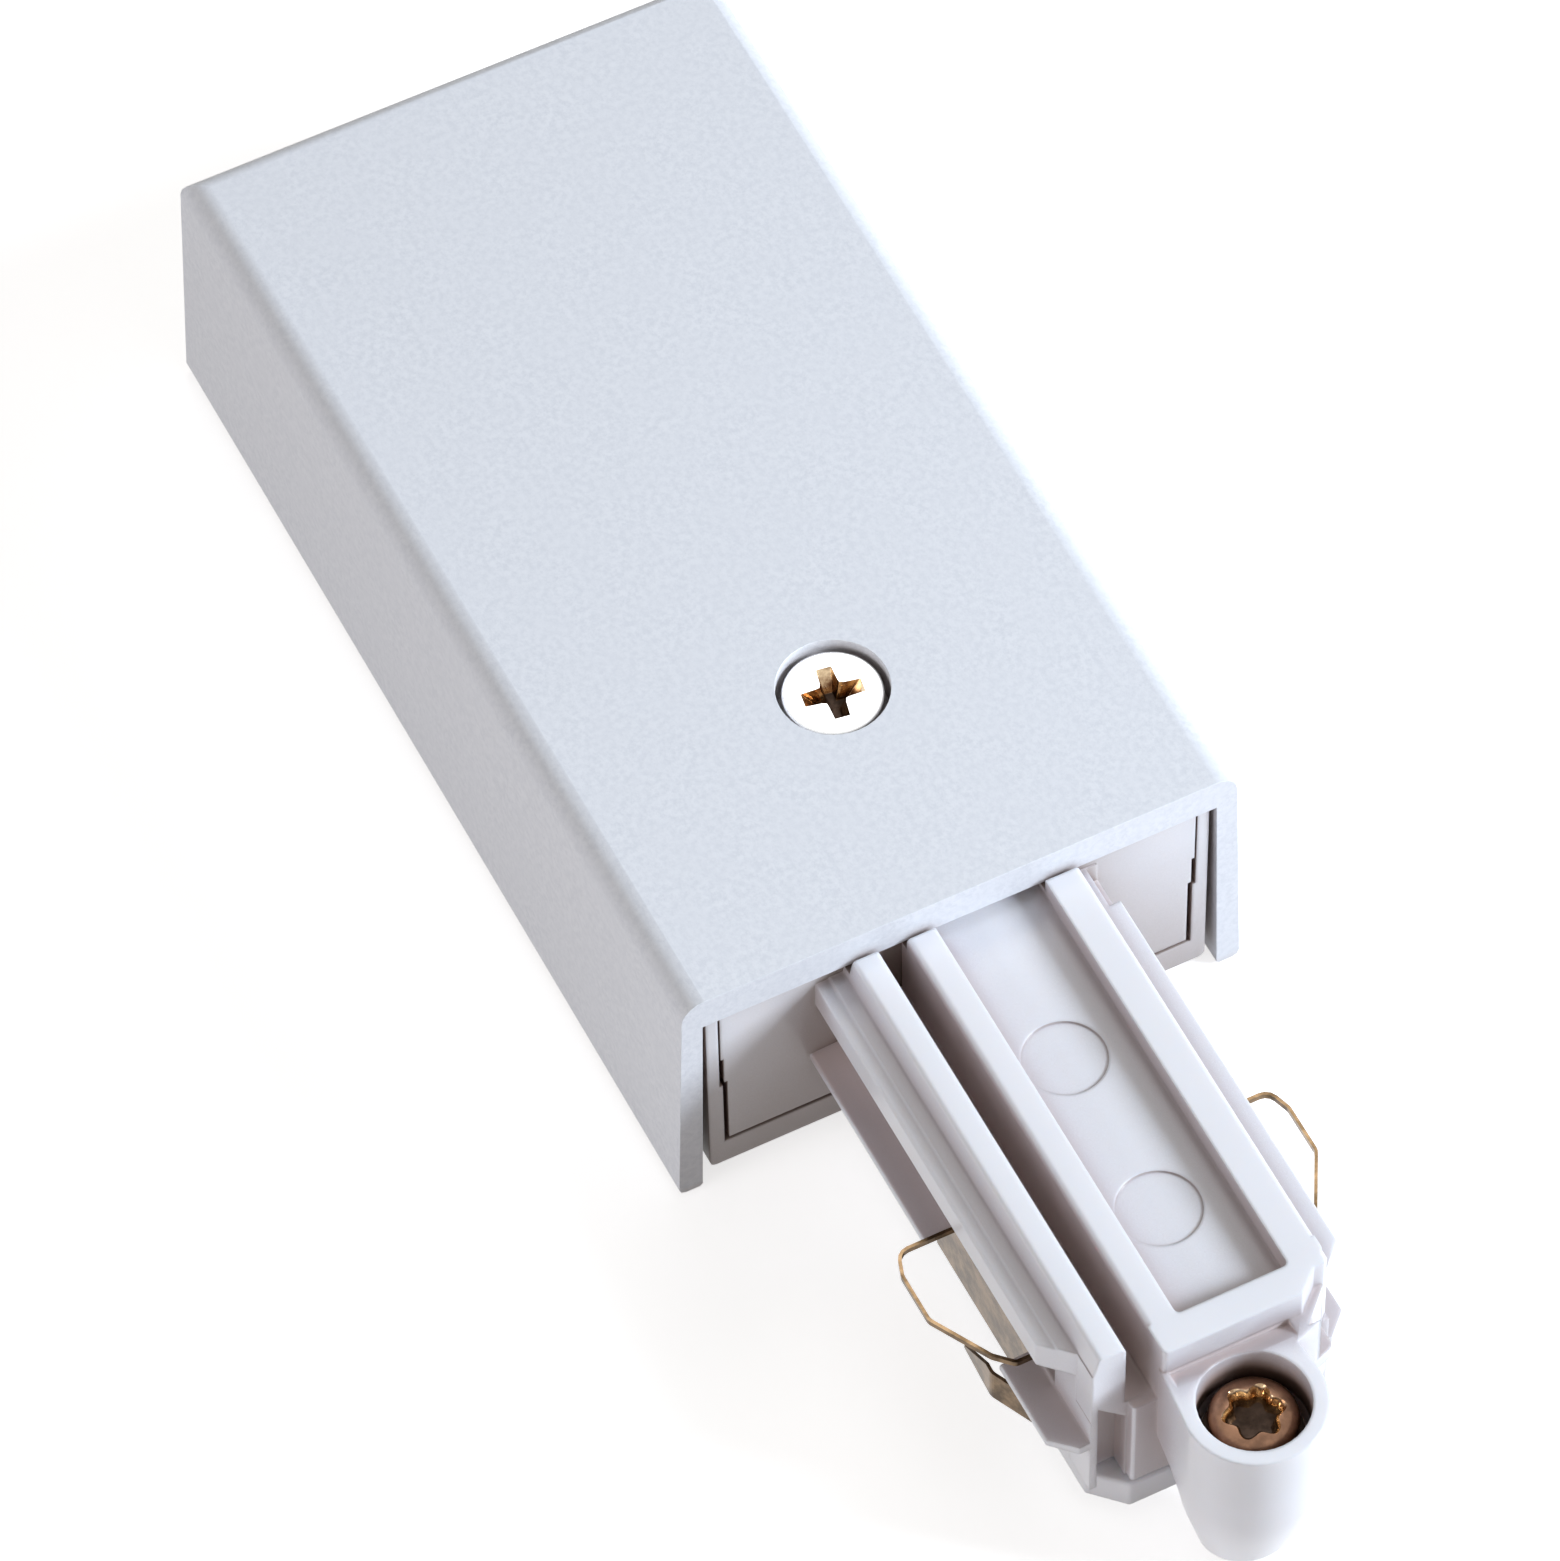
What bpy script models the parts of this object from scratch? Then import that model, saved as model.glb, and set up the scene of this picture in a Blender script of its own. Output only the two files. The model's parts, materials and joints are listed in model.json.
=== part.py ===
"""Live-end power feed for a one-circuit surface lighting track.

A white U-shaped cover screws down over a base that is fixed to the ceiling.
A moulded adapter drops into the base's end frame and reaches out of the cover
as a tongue, which plugs into the cut end of the track.  Spring contacts stand
out of the tongue's windows, and a lock screw in its tip holds it in the track.

The row runs along +X, out of the cover and into the track.  The ceiling plane
is z = 0, and +Z is the way into the room.  Lengths below are in metres, with
x = 0 at the cover's open end until the assembly is centred on its length.
"""

import math

import bmesh
import bpy
from mathutils import Vector

MM = 0.001

# Cover: a shell that is open at the front and towards the ceiling.
COVER_LENGTH = 66.5 * MM
COVER_WIDTH = 36.0 * MM
COVER_HEIGHT = 18.3 * MM
SIDE_DRAFT = 0.6 * MM
REAR_DRAFT = 0.5 * MM
EDGE_ROUND = 1.4 * MM
SIDE_WALL = 1.5 * MM
TOP_WALL = 2.45 * MM
REAR_WALL = 1.6 * MM
INNER_DRAFT = 0.35 * MM
RIM_ROUND = 0.45 * MM
KNOCKOUT_WIDTH = 10.0 * MM
KNOCKOUT_HEIGHT = 8.0 * MM
KNOCKOUT_SKIN = 0.7 * MM

# Fits between neighbouring pieces.
SEAT_GAP = 0.3 * MM
SIDE_FIT = 0.3 * MM
CLOSE_FIT = 0.12 * MM
BORE_FIT = 0.3 * MM
OVERRUN = 2.0 * MM
SINK = 0.5 * MM

# Cover screw and the post that takes it.
COVER_SCREW_X = -15.8 * MM
RECESS_RADIUS = 3.3 * MM
HEAD_RADIUS = 2.92 * MM
HEAD_DEPTH = 0.55 * MM
HEAD_THICKNESS = 1.8 * MM
COVER_SCREW_RADIUS = 1.3 * MM
COVER_SCREW_TIP = 3.95 * MM
COVER_CROSS_TURN = -9.0
TOWER_WALL = 1.3 * MM
TOWER_DROP = 3.0 * MM
POST_RADIUS = 4.0 * MM

# Base: floor, low walls, end frame.
FLOOR_TOP = 2.8 * MM
FLOOR_THICKNESS = 1.8 * MM
BASE_WALL = 0.95 * MM
BASE_WALL_TOP = 7.5 * MM
FRAME_DEPTH = 2.8 * MM
FRAME_SETBACK = 0.3 * MM
FRAME_SILL = 3.0 * MM
FRAME_JOG = 0.2 * MM
JOG_HEIGHT = 8.7 * MM
SHOULDER_HEIGHT = 11.3 * MM
FOOT_RADIUS = 2.6 * MM
FIX_SLOT_WIDTH = 4.4 * MM
FIX_SLOT_LENGTH = 7.6 * MM
FIX_INSET = 4.0 * MM
PAD_MARGIN = 1.6 * MM
ENTRY_LENGTH = 8.0 * MM
ENTRY_ROUND = 2.0 * MM

# Cable clamp behind the terminals, with the cable entry behind it.
CLAMP_STEP = 10.0 * MM
ENTRY_STEP = 8.0 * MM
CLAMP_WIDTH = 6.0 * MM
CLAMP_THICKNESS = 2.4 * MM
CLAMP_ARCH = 1.2 * MM
CLAMP_HEADROOM = 2.45 * MM
CLAMP_POST_RADIUS = 2.9 * MM
CLAMP_POST_INSET = 2.0 * MM
CLAMP_SCREW_RADIUS = 1.2 * MM
CLAMP_HEAD_RADIUS = 2.4 * MM
CLAMP_HEAD_THICKNESS = 1.5 * MM
SADDLE_HEIGHT = 0.6 * MM

# Tongue of the adapter.
TONGUE_LENGTH = 29.6 * MM
CORE_HALF = 7.4 * MM
CORE_WALL = 1.2 * MM
WEB_HALF = 1.7 * MM
HOUSING_BOTTOM = 3.3 * MM
CAVITY_TOP = 9.8 * MM
LIP_LEFT = 9.45 * MM
LIP_RIGHT = 9.05 * MM
LIP_TOP = 8.25 * MM
LIP_THICKNESS = 0.65 * MM
LEDGE_LEFT = 9.05 * MM
LEDGE_RIGHT = 8.7 * MM
LEDGE_TOP = 15.0 * MM
LEDGE_THICKNESS = 2.2 * MM
LEDGE_GROOVE = 0.8 * MM
RIB_TOP = 16.5 * MM
RIB_FOOT = -7.3 * MM
RIB_OUTER = -6.95 * MM
RIB_INNER = -5.3 * MM
SLOT_INNER = -3.6 * MM
SLOT_FLOOR = 11.0 * MM
TRAY_LEFT = -1.8 * MM
TRAY_RIGHT = 5.1 * MM
TRAY_WALL_OUTER = 7.25 * MM
TRAY_TOP = 16.4 * MM
TRAY_FLOOR = 15.0 * MM
MOULD_ROUND = 0.3 * MM
THIN_ROUND = 0.12 * MM
LEDGE_CHAMFER = 1.8 * MM
LEDGE_SHORT = 3.4 * MM
LIP_CHAMFER = 1.4 * MM
EJECTOR_RADIUS = 2.45 * MM
EJECTOR_DEPTH = 0.12 * MM
EJECTOR_INSET = 7.2 * MM
EJECTOR_PITCH = 11.1 * MM
ROOT_NOTCH = 2.6 * MM
FRONT_WALL = 2.0 * MM
FRONT_CHAMFER = 2.3 * MM
POCKET_DEPTH = 1.3 * MM
COLUMN_HALF = 5.1 * MM
COLUMN_REACH = 0.6 * MM
COLUMN_TOP = 10.95 * MM
POCKET_LEFT = -6.95 * MM
POCKET_RIGHT = -5.2 * MM
POCKET_HIGH = 11.4 * MM
POCKET_ROOF = 9.5 * MM

# Boss at the tip, with the lock screw.
BOSS_REACH = 4.9 * MM
BOSS_RADIUS = 4.1 * MM
BOSS_TOP = 14.3 * MM
BOSS_SHOULDER = 7.5 * MM
BOSS_FOOT_LONG = 2.35 * MM
BOSS_FOOT_WIDE = 3.0 * MM
BOSS_FOOT = 1.6 * MM
BOSS_BOTTOM = 0.8 * MM
NECK_WIDE = 6.8 * MM
NECK_GROOVE = 0.5 * MM
BOSS_BORE = 3.2 * MM
LOCK_HEAD_RADIUS = 2.55 * MM
LOCK_HEAD_THICKNESS = 1.35 * MM
LOCK_HEAD_DEPTH = 1.0 * MM
LOCK_SCREW_RADIUS = 1.4 * MM
LOCK_TRAVEL = 1.1 * MM
INSERT_RADIUS = 2.2 * MM
INSERT_FLANGE = 0.8 * MM
INSERT_LENGTH = 5.6 * MM
INSERT_FIT = 0.15 * MM

# Bottom cover of the tongue.
BOTTOM_PLATE_LOW = 0.8 * MM
BOTTOM_PLATE_HALF = 7.0 * MM
BOTTOM_CHAMFER = 1.85 * MM
BOTTOM_NOTCH = 6.2 * MM
STAKE_RADIUS = 0.9 * MM
STAKE_INSET = 6.0 * MM

# Windows and spring contacts.
WINDOW_INSET = 16.0 * MM
WINDOW_LENGTH = 9.2 * MM
HOOK_ROOM = 2.6 * MM
EARTH_WINDOW_STEP = 4.1 * MM
LEAF_ROOM = 4.4 * MM
WINDOW_TOP = 10.5 * MM
WINDOW_DEPTH = 2.8 * MM
STRIP = 0.2 * MM
STRIP_BEND = 0.35 * MM
TAB = 0.35 * MM
CONTACT_TOP = 10.15 * MM
LEG_Y = 7.17 * MM
LEG_HEIGHT = 2.45 * MM
LOOP_HEIGHT = 0.4 * MM
LOOP_INSET = 1.2 * MM
LOOP_FLAT = 4.7 * MM
LOOP_SLOPE = 3.6 * MM
LOOP_DROP = 2.0 * MM
LOOP_ROUND = 0.8 * MM
APEX_Y = 12.1 * MM
HOOK_REACH = 1.0 * MM
HOOK_END = 7.9 * MM
EARTH_TOP = 7.2 * MM
EARTH_PLATE_HEIGHT = 4.5 * MM
EARTH_LEAF_HEIGHT = 2.4 * MM
EARTH_APEX_Y = 9.75 * MM
EARTH_RETURN_Y = 8.5 * MM
LEAF_APEX_INSET = 8.9 * MM
LEAF_TIP = 5.45 * MM
LEAF_RETURN = 1.3 * MM
LEAF_TAPER = 2.85 * MM
LEAF_POINT = 0.2 * MM
EARTH_BAND_BACK = 2.9 * MM

# Bus bars and terminals.
BAR = 0.5 * MM
BAR_GAP = 0.3 * MM
BAR_BEND = 0.8 * MM
BAR_SWING = 2.9 * MM
LINE_BAR_LOW = 7.7 * MM
LINE_BAR_HEIGHT = 2.0 * MM
EARTH_BAR_LOW = 5.3 * MM
EARTH_BAR_HEIGHT = 1.9 * MM
LINE_BAR_Y = 5.6 * MM
EARTH_BAR_Y = -5.3 * MM
PLATFORM_TOP = 5.0 * MM
PLATFORM_MARGIN = 0.6 * MM
TERMINAL_X = -27.5 * MM
TERMINAL_LENGTH = 6.4 * MM
TERMINAL_WIDTH = 5.6 * MM
TERMINAL_HEADROOM = 1.2 * MM
CELL_WALL = 1.2 * MM
WIRE_RISE = 2.4 * MM
WIRE_BORE = 1.6 * MM
WIRE_FUNNEL = 2.1 * MM
TERMINAL_SCREW_RADIUS = 1.25 * MM
TERMINAL_HEAD_RADIUS = 1.7 * MM
TERMINAL_HEAD_THICKNESS = 1.2 * MM

ROUND_STEPS = 40
FINE_STEPS = 24
ARC_STEPS = 3

# Heights and places that follow from the sizes above.
UNDERSIDE = COVER_HEIGHT - TOP_WALL
RECESS_FLOOR = COVER_HEIGHT - HEAD_DEPTH - HEAD_THICKNESS - SEAT_GAP
TOWER_BOTTOM = UNDERSIDE - TOWER_DROP
POST_TOP = TOWER_BOTTOM - SEAT_GAP
COVER_SCREW_LENGTH = COVER_HEIGHT - HEAD_DEPTH - FLOOR_TOP - COVER_SCREW_TIP
INNER_HALF_LOW = COVER_WIDTH / 2 - SIDE_WALL
INNER_HALF_HIGH = INNER_HALF_LOW - INNER_DRAFT
BASE_HALF = INNER_HALF_HIGH - SIDE_FIT
BASE_REAR = -COVER_LENGTH + REAR_WALL + SIDE_FIT
BASE_FRONT = -FRAME_SETBACK
FRAME_OPENING = 2 * (BASE_HALF - BASE_WALL)
FLANGE_TOP = UNDERSIDE - 0.4 * MM
FLANGE_BACK = BASE_FRONT - FRAME_DEPTH
FLOOR_LOW = FLOOR_TOP - FLOOR_THICKNESS
PLATFORM_HALF = FRAME_OPENING / 2 - PLATFORM_MARGIN
CELL_LENGTH = TERMINAL_LENGTH + 2 * SEAT_GAP
CELL_WIDTH = TERMINAL_WIDTH + 2 * SEAT_GAP
TERMINAL_PITCH = PLATFORM_HALF - CELL_WALL - CELL_WIDTH / 2
TERMINAL_LOW = PLATFORM_TOP + SEAT_GAP
TERMINAL_SCREW_TOP = UNDERSIDE - TERMINAL_HEADROOM
TERMINAL_HIGH = TERMINAL_SCREW_TOP - TERMINAL_HEAD_THICKNESS - 2 * SEAT_GAP
WIRE_Z = TERMINAL_LOW + WIRE_RISE
CELL_TOP = TERMINAL_HIGH + SEAT_GAP
CLAMP_X = TERMINAL_X - CLAMP_STEP
CLAMP_SPAN = FRAME_OPENING / 2 - CLAMP_POST_RADIUS - CLAMP_POST_INSET
CLAMP_SCREW_TOP = UNDERSIDE - CLAMP_HEADROOM
CLAMP_TOP = CLAMP_SCREW_TOP - CLAMP_HEAD_THICKNESS - SEAT_GAP
CLAMP_BOTTOM = CLAMP_TOP - CLAMP_THICKNESS
ENTRY_X = CLAMP_X - ENTRY_STEP
FIX_Y = FRAME_OPENING / 2 - FIX_INSET
ENTRY_WIDTH = 2 * (FIX_Y - FIX_SLOT_WIDTH)
TONGUE_START = SEAT_GAP
TRAY_END = TONGUE_LENGTH - 0.8 * MM
WALL_END = TRAY_END + FRONT_WALL
BOSS_X = TONGUE_LENGTH + BOSS_REACH
BOTTOM_PLATE_TOP = HOUSING_BOTTOM - SEAT_GAP
BOTTOM_PLATE_END = TONGUE_LENGTH + COLUMN_REACH
STAKES = (STAKE_INSET, TONGUE_LENGTH - STAKE_INSET)
WINDOW_START = TONGUE_LENGTH - WINDOW_INSET
LIP_WINDOW_END = WINDOW_START + WINDOW_LENGTH
EARTH_WINDOW_START = WINDOW_START - EARTH_WINDOW_STEP
WINDOW_END = LIP_WINDOW_END + HOOK_ROOM
LEAF_ROOM_END = LIP_WINDOW_END + LEAF_ROOM
CAVITY_END = LEAF_ROOM_END
BAR_START = TERMINAL_X + TERMINAL_LENGTH / 2 + BAR_GAP
BAR_END = WINDOW_START - 0.1 * MM
CONTACT_ROOT = BAR_END + BAR / 2 + BAR_GAP - STRIP / 2
TIP_X = BOSS_X + BOSS_RADIUS
CENTRE_SHIFT = (COVER_LENGTH - TIP_X) / 2


def clear_scene():
    for old in list(bpy.data.objects):
        bpy.data.objects.remove(old, do_unlink=True)


def material(name, colour, roughness, metallic=0.0):
    made = bpy.data.materials.new(name)
    made.use_nodes = True
    shader = made.node_tree.nodes["Principled BSDF"]
    shader.inputs["Base Color"].default_value = (*colour, 1.0)
    shader.inputs["Roughness"].default_value = roughness
    shader.inputs["Metallic"].default_value = metallic
    return made


def add_object(name, bm, parent=None, surface=None, origin=(0.0, 0.0, 0.0)):
    """Turns a bmesh into an object whose origin is the given point."""
    bmesh.ops.recalc_face_normals(bm, faces=bm.faces)
    bmesh.ops.translate(bm, verts=bm.verts, vec=-Vector(origin))
    mesh = bpy.data.meshes.new(name)
    bm.to_mesh(mesh)
    bm.free()
    made = bpy.data.objects.new(name, mesh)
    bpy.context.scene.collection.objects.link(made)
    made.location = origin
    made.parent = parent
    if surface is not None:
        mesh.materials.append(surface)
    mesh.shade_smooth()
    mesh.set_sharp_from_angle(angle=math.radians(32))
    return made


def corner_arc(before, corner, after, radius, steps=ARC_STEPS):
    """Points of the arc that rounds one corner of an outline."""
    a = (Vector(before) - Vector(corner)).normalized()
    b = (Vector(after) - Vector(corner)).normalized()
    half = a.angle(b) / 2
    reach = radius / math.tan(half)
    centre = Vector(corner) + (a + b).normalized() * (radius / math.sin(half))
    first = Vector(corner) + a * reach - centre
    last = Vector(corner) + b * reach - centre
    turn = first.angle(last)
    sign = 1.0 if first.cross(last) > 0 else -1.0
    points = []
    for i in range(steps + 1):
        angle = sign * turn * i / steps
        c, s = math.cos(angle), math.sin(angle)
        points.append((centre.x + c * first.x - s * first.y, centre.y + s * first.x + c * first.y))
    return points


def rounded(corners, closed=True):
    """An outline from (u, v) or (u, v, radius) corners, each round corner as an arc."""
    points = []
    count = len(corners)
    for i, corner in enumerate(corners):
        radius = corner[2] if len(corner) > 2 else 0.0
        at_end = not closed and i in (0, count - 1)
        if radius <= 0.0 or at_end:
            points.append((corner[0], corner[1]))
            continue
        before = corners[i - 1][:2]
        after = corners[(i + 1) % count][:2]
        points.extend(corner_arc(before, corner[:2], after, radius))
    return points


def place(axis, u, v, w):
    """Puts outline coordinates u, v at w along the axis."""
    if axis == "X":
        return (w, u, v)
    if axis == "Y":
        return (u, w, v)
    return (u, v, w)


def prism_mesh(outline, low, high, axis="Z"):
    bm = bmesh.new()
    base = [bm.verts.new(place(axis, u, v, low)) for u, v in outline]
    face = bm.faces.new(base)
    grown = bmesh.ops.extrude_face_region(bm, geom=[face])
    moved = [item for item in grown["geom"] if isinstance(item, bmesh.types.BMVert)]
    step = Vector(place(axis, 0.0, 0.0, high - low))
    bmesh.ops.translate(bm, verts=moved, vec=step)
    return bm


def box_outline(u_low, u_high, v_low, v_high, radius=0.0):
    return rounded([
        (u_low, v_low, radius),
        (u_high, v_low, radius),
        (u_high, v_high, radius),
        (u_low, v_high, radius),
    ])


def circle_outline(u, v, radius, steps=ROUND_STEPS):
    angles = [2 * math.pi * i / steps for i in range(steps)]
    return [(u + radius * math.cos(a), v + radius * math.sin(a)) for a in angles]


def slot_outline(u, v, width, length, steps=10):
    """A slot with round ends that runs along the first axis."""
    radius = width / 2
    reach = length / 2 - radius
    turn = [math.pi * i / steps - math.pi / 2 for i in range(steps + 1)]
    points = [(u + reach + radius * math.cos(a), v + radius * math.sin(a)) for a in turn]
    points += [(u - reach - radius * math.cos(a), v - radius * math.sin(a)) for a in turn]
    return points


def turned_mesh(profile, centre, steps=ROUND_STEPS):
    """Spins a (radius, z) profile, which starts and ends on the axis."""
    bm = bmesh.new()
    verts = [bm.verts.new((centre[0] + r, centre[1], z)) for r, z in profile]
    edges = [bm.edges.new(pair) for pair in zip(verts, verts[1:])]
    bmesh.ops.spin(
        bm,
        geom=verts + edges,
        cent=(centre[0], centre[1], 0.0),
        axis=(0.0, 0.0, 1.0),
        angle=2 * math.pi,
        steps=steps,
        use_merge=True,
    )
    bmesh.ops.remove_doubles(bm, verts=bm.verts, dist=1e-7)
    return bm


def cylinder_mesh(centre, radius, low, high, steps=ROUND_STEPS):
    return prism_mesh(circle_outline(*centre, radius, steps), low, high)


def helper(name, bm, parent=None):
    """A cutter or an added form: it shapes other objects and isn't a piece."""
    made = add_object(name, bm, parent)
    made.hide_render = True
    made.display_type = "WIRE"
    return made


def combine(target, tool, operation):
    step = target.modifiers.new(tool.name, "BOOLEAN")
    step.operation = operation
    step.solver = "EXACT"
    step.object = tool


def cut(target, name, bm):
    combine(target, helper(f"{target.name}.cut_{name}", bm, target.parent), "DIFFERENCE")


def add(target, name, bm):
    combine(target, helper(f"{target.name}.add_{name}", bm, target.parent), "UNION")


def strip_outline(path, thickness):
    """The outline of a bent strip of even thickness along a (x, y) path."""
    left, right = [], []
    count = len(path)
    for i, point in enumerate(path):
        here = Vector(point)
        ahead = (Vector(path[min(i + 1, count - 1)]) - here).normalized()
        behind = (here - Vector(path[max(i - 1, 0)])).normalized()
        if i == 0:
            behind = ahead
        if i == count - 1:
            ahead = behind
        along = (ahead + behind).normalized()
        across = Vector((-along.y, along.x))
        spread = thickness / 2 / max(across.dot(Vector((-ahead.y, ahead.x))), 0.5)
        left.append(tuple(here + across * spread))
        right.append(tuple(here - across * spread))
    return left + right[::-1]


def strip_mesh(corners, thickness, low, high):
    return prism_mesh(strip_outline(rounded(corners, closed=False), thickness), low, high)


def frustum_mesh(low_box, high_box, low, high):
    """A block whose two ends are (x_low, x_high, y_low, y_high) rectangles."""
    bm = bmesh.new()
    rings = []
    for (x0, x1, y0, y1), z in ((low_box, low), (high_box, high)):
        corners = ((x0, y0), (x1, y0), (x1, y1), (x0, y1))
        rings.append([bm.verts.new((x, y, z)) for x, y in corners])
    bm.faces.new(rings[0][::-1])
    bm.faces.new(rings[1])
    for i in range(4):
        j = (i + 1) % 4
        bm.faces.new((rings[0][i], rings[0][j], rings[1][j], rings[1][i]))
    return bm


def cross_outline(u, v, reach, width, turn=0.0):
    """A Phillips cross, narrowed towards its tips."""
    tip = width * 0.36
    waist = width / 2
    points = []
    for arm in range(4):
        angle = turn + arm * math.pi / 2
        c, s = math.cos(angle), math.sin(angle)
        for along, across in ((waist, -waist), (reach, -tip), (reach, tip)):
            points.append((u + c * along - s * across, v + s * along + c * across))
    return points


def screw_mesh(centre, top, head_radius, head_thickness, shank_radius, length, dome):
    """A pan head over a shank that tapers to a blunt point."""
    under = top - head_thickness
    tip = under - length
    profile = [
        (0.0, top),
        (head_radius * 0.55, top - dome * 0.15),
        (head_radius * 0.86, top - dome * 0.55),
        (head_radius, top - dome - head_thickness * 0.12),
        (head_radius, under),
        (shank_radius, under),
        (shank_radius, tip + shank_radius),
        (shank_radius * 0.5, tip),
        (0.0, tip),
    ]
    return turned_mesh(profile, centre, FINE_STEPS + 8)


def make_cover(parent, surface):
    half = COVER_WIDTH / 2
    top_half = half - SIDE_DRAFT
    outer = frustum_mesh(
        (-COVER_LENGTH, 0.0, -half, half),
        (-COVER_LENGTH + REAR_DRAFT, 0.0, -top_half, top_half),
        0.0,
        COVER_HEIGHT,
    )
    soft = []
    rim = []
    for edge in outer.edges:
        a, b = (v.co for v in edge.verts)
        at_front = a.x == 0.0 and b.x == 0.0
        at_rim = a.z == 0.0 and b.z == 0.0
        if not at_front and not at_rim:
            soft.append(edge)
        if at_rim and not at_front:
            rim.append(edge)
    bmesh.ops.bevel(
        outer, geom=rim, offset=RIM_ROUND, segments=2, profile=0.5, affect="EDGES"
    )
    soft = [edge for edge in soft if edge.is_valid]
    bmesh.ops.bevel(
        outer, geom=soft, offset=EDGE_ROUND, segments=5, profile=0.5, affect="EDGES"
    )
    cover = add_object("cover", outer, parent, surface)
    inside_rear = -COVER_LENGTH + REAR_WALL
    slope = INNER_DRAFT / UNDERSIDE
    below = INNER_HALF_LOW + slope * OVERRUN
    cavity = frustum_mesh(
        (inside_rear, OVERRUN, -below, below),
        (inside_rear + REAR_DRAFT, OVERRUN, -INNER_HALF_HIGH, INNER_HALF_HIGH),
        -OVERRUN,
        UNDERSIDE,
    )
    cut(cover, "cavity", cavity)
    wide = INNER_HALF_LOW + RIM_ROUND * 2
    narrow = INNER_HALF_LOW - RIM_ROUND
    flare = frustum_mesh(
        (inside_rear - RIM_ROUND * 2, OVERRUN, -wide, wide),
        (inside_rear + RIM_ROUND, OVERRUN, -narrow, narrow),
        -RIM_ROUND * 1.6,
        RIM_ROUND * 1.4,
    )
    cut(cover, "rim_flare", flare)
    spot = (COVER_SCREW_X, 0.0)
    tower_radius = RECESS_RADIUS + TOWER_WALL
    tower = cylinder_mesh(spot, tower_radius, TOWER_BOTTOM, UNDERSIDE + TOP_WALL / 2)
    add(cover, "screw_tower", tower)
    recess = cylinder_mesh(spot, RECESS_RADIUS, RECESS_FLOOR, COVER_HEIGHT + OVERRUN)
    cut(cover, "head_recess", recess)
    shank_radius = COVER_SCREW_RADIUS + BORE_FIT
    hole = cylinder_mesh(spot, shank_radius, TOWER_BOTTOM - OVERRUN, COVER_HEIGHT, FINE_STEPS)
    cut(cover, "shank_hole", hole)
    knock = KNOCKOUT_WIDTH / 2
    outline = [(-knock, -OVERRUN), (knock, -OVERRUN)]
    centre_z = KNOCKOUT_HEIGHT - knock
    outline += [
        (knock * math.cos(a), centre_z + knock * math.sin(a))
        for a in (math.pi * i / 12 for i in range(13))
    ]
    skin_x = -COVER_LENGTH + REAR_DRAFT + KNOCKOUT_SKIN
    cut(cover, "knockout", prism_mesh(outline, skin_x, inside_rear + OVERRUN, "X"))
    return cover


def make_cover_screw(parent, surface):
    spot = (COVER_SCREW_X, 0.0)
    top = COVER_HEIGHT - HEAD_DEPTH
    profile = [
        (0.0, top),
        (HEAD_RADIUS * 0.94, top),
        (HEAD_RADIUS, top - HEAD_THICKNESS * 0.12),
        (HEAD_RADIUS, top - HEAD_THICKNESS * 0.3),
        (HEAD_RADIUS * 0.8, top - HEAD_THICKNESS),
        (COVER_SCREW_RADIUS, top - HEAD_THICKNESS),
        (COVER_SCREW_RADIUS, top - COVER_SCREW_LENGTH + COVER_SCREW_RADIUS * 2),
        (COVER_SCREW_RADIUS * 0.25, top - COVER_SCREW_LENGTH),
        (0.0, top - COVER_SCREW_LENGTH),
    ]
    origin = (COVER_SCREW_X, 0.0, top)
    screw = add_object("cover_screw", turned_mesh(profile, spot), parent, surface, origin)
    depth = HEAD_THICKNESS * 0.7
    turn = math.radians(COVER_CROSS_TURN)
    cross = cross_outline(*spot, HEAD_RADIUS * 0.62, HEAD_RADIUS * 0.3, turn)
    cut(screw, "cross", prism_mesh(cross, top - depth, top + OVERRUN))
    return screw


def end_frame_outline():
    """The base's U-shaped end frame, seen along the row."""
    low = FRAME_OPENING / 2
    high = low + FRAME_JOG
    return rounded([
        (-BASE_HALF, FLOOR_LOW, 0.4 * MM),
        (BASE_HALF, FLOOR_LOW, 0.4 * MM),
        (BASE_HALF, FLANGE_TOP),
        (high, FLANGE_TOP),
        (high, JOG_HEIGHT),
        (low, JOG_HEIGHT),
        (low, FRAME_SILL),
        (-low, FRAME_SILL),
        (-low, JOG_HEIGHT),
        (-high, JOG_HEIGHT),
        (-high, FLANGE_TOP),
        (-BASE_HALF, FLANGE_TOP),
    ])


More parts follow.
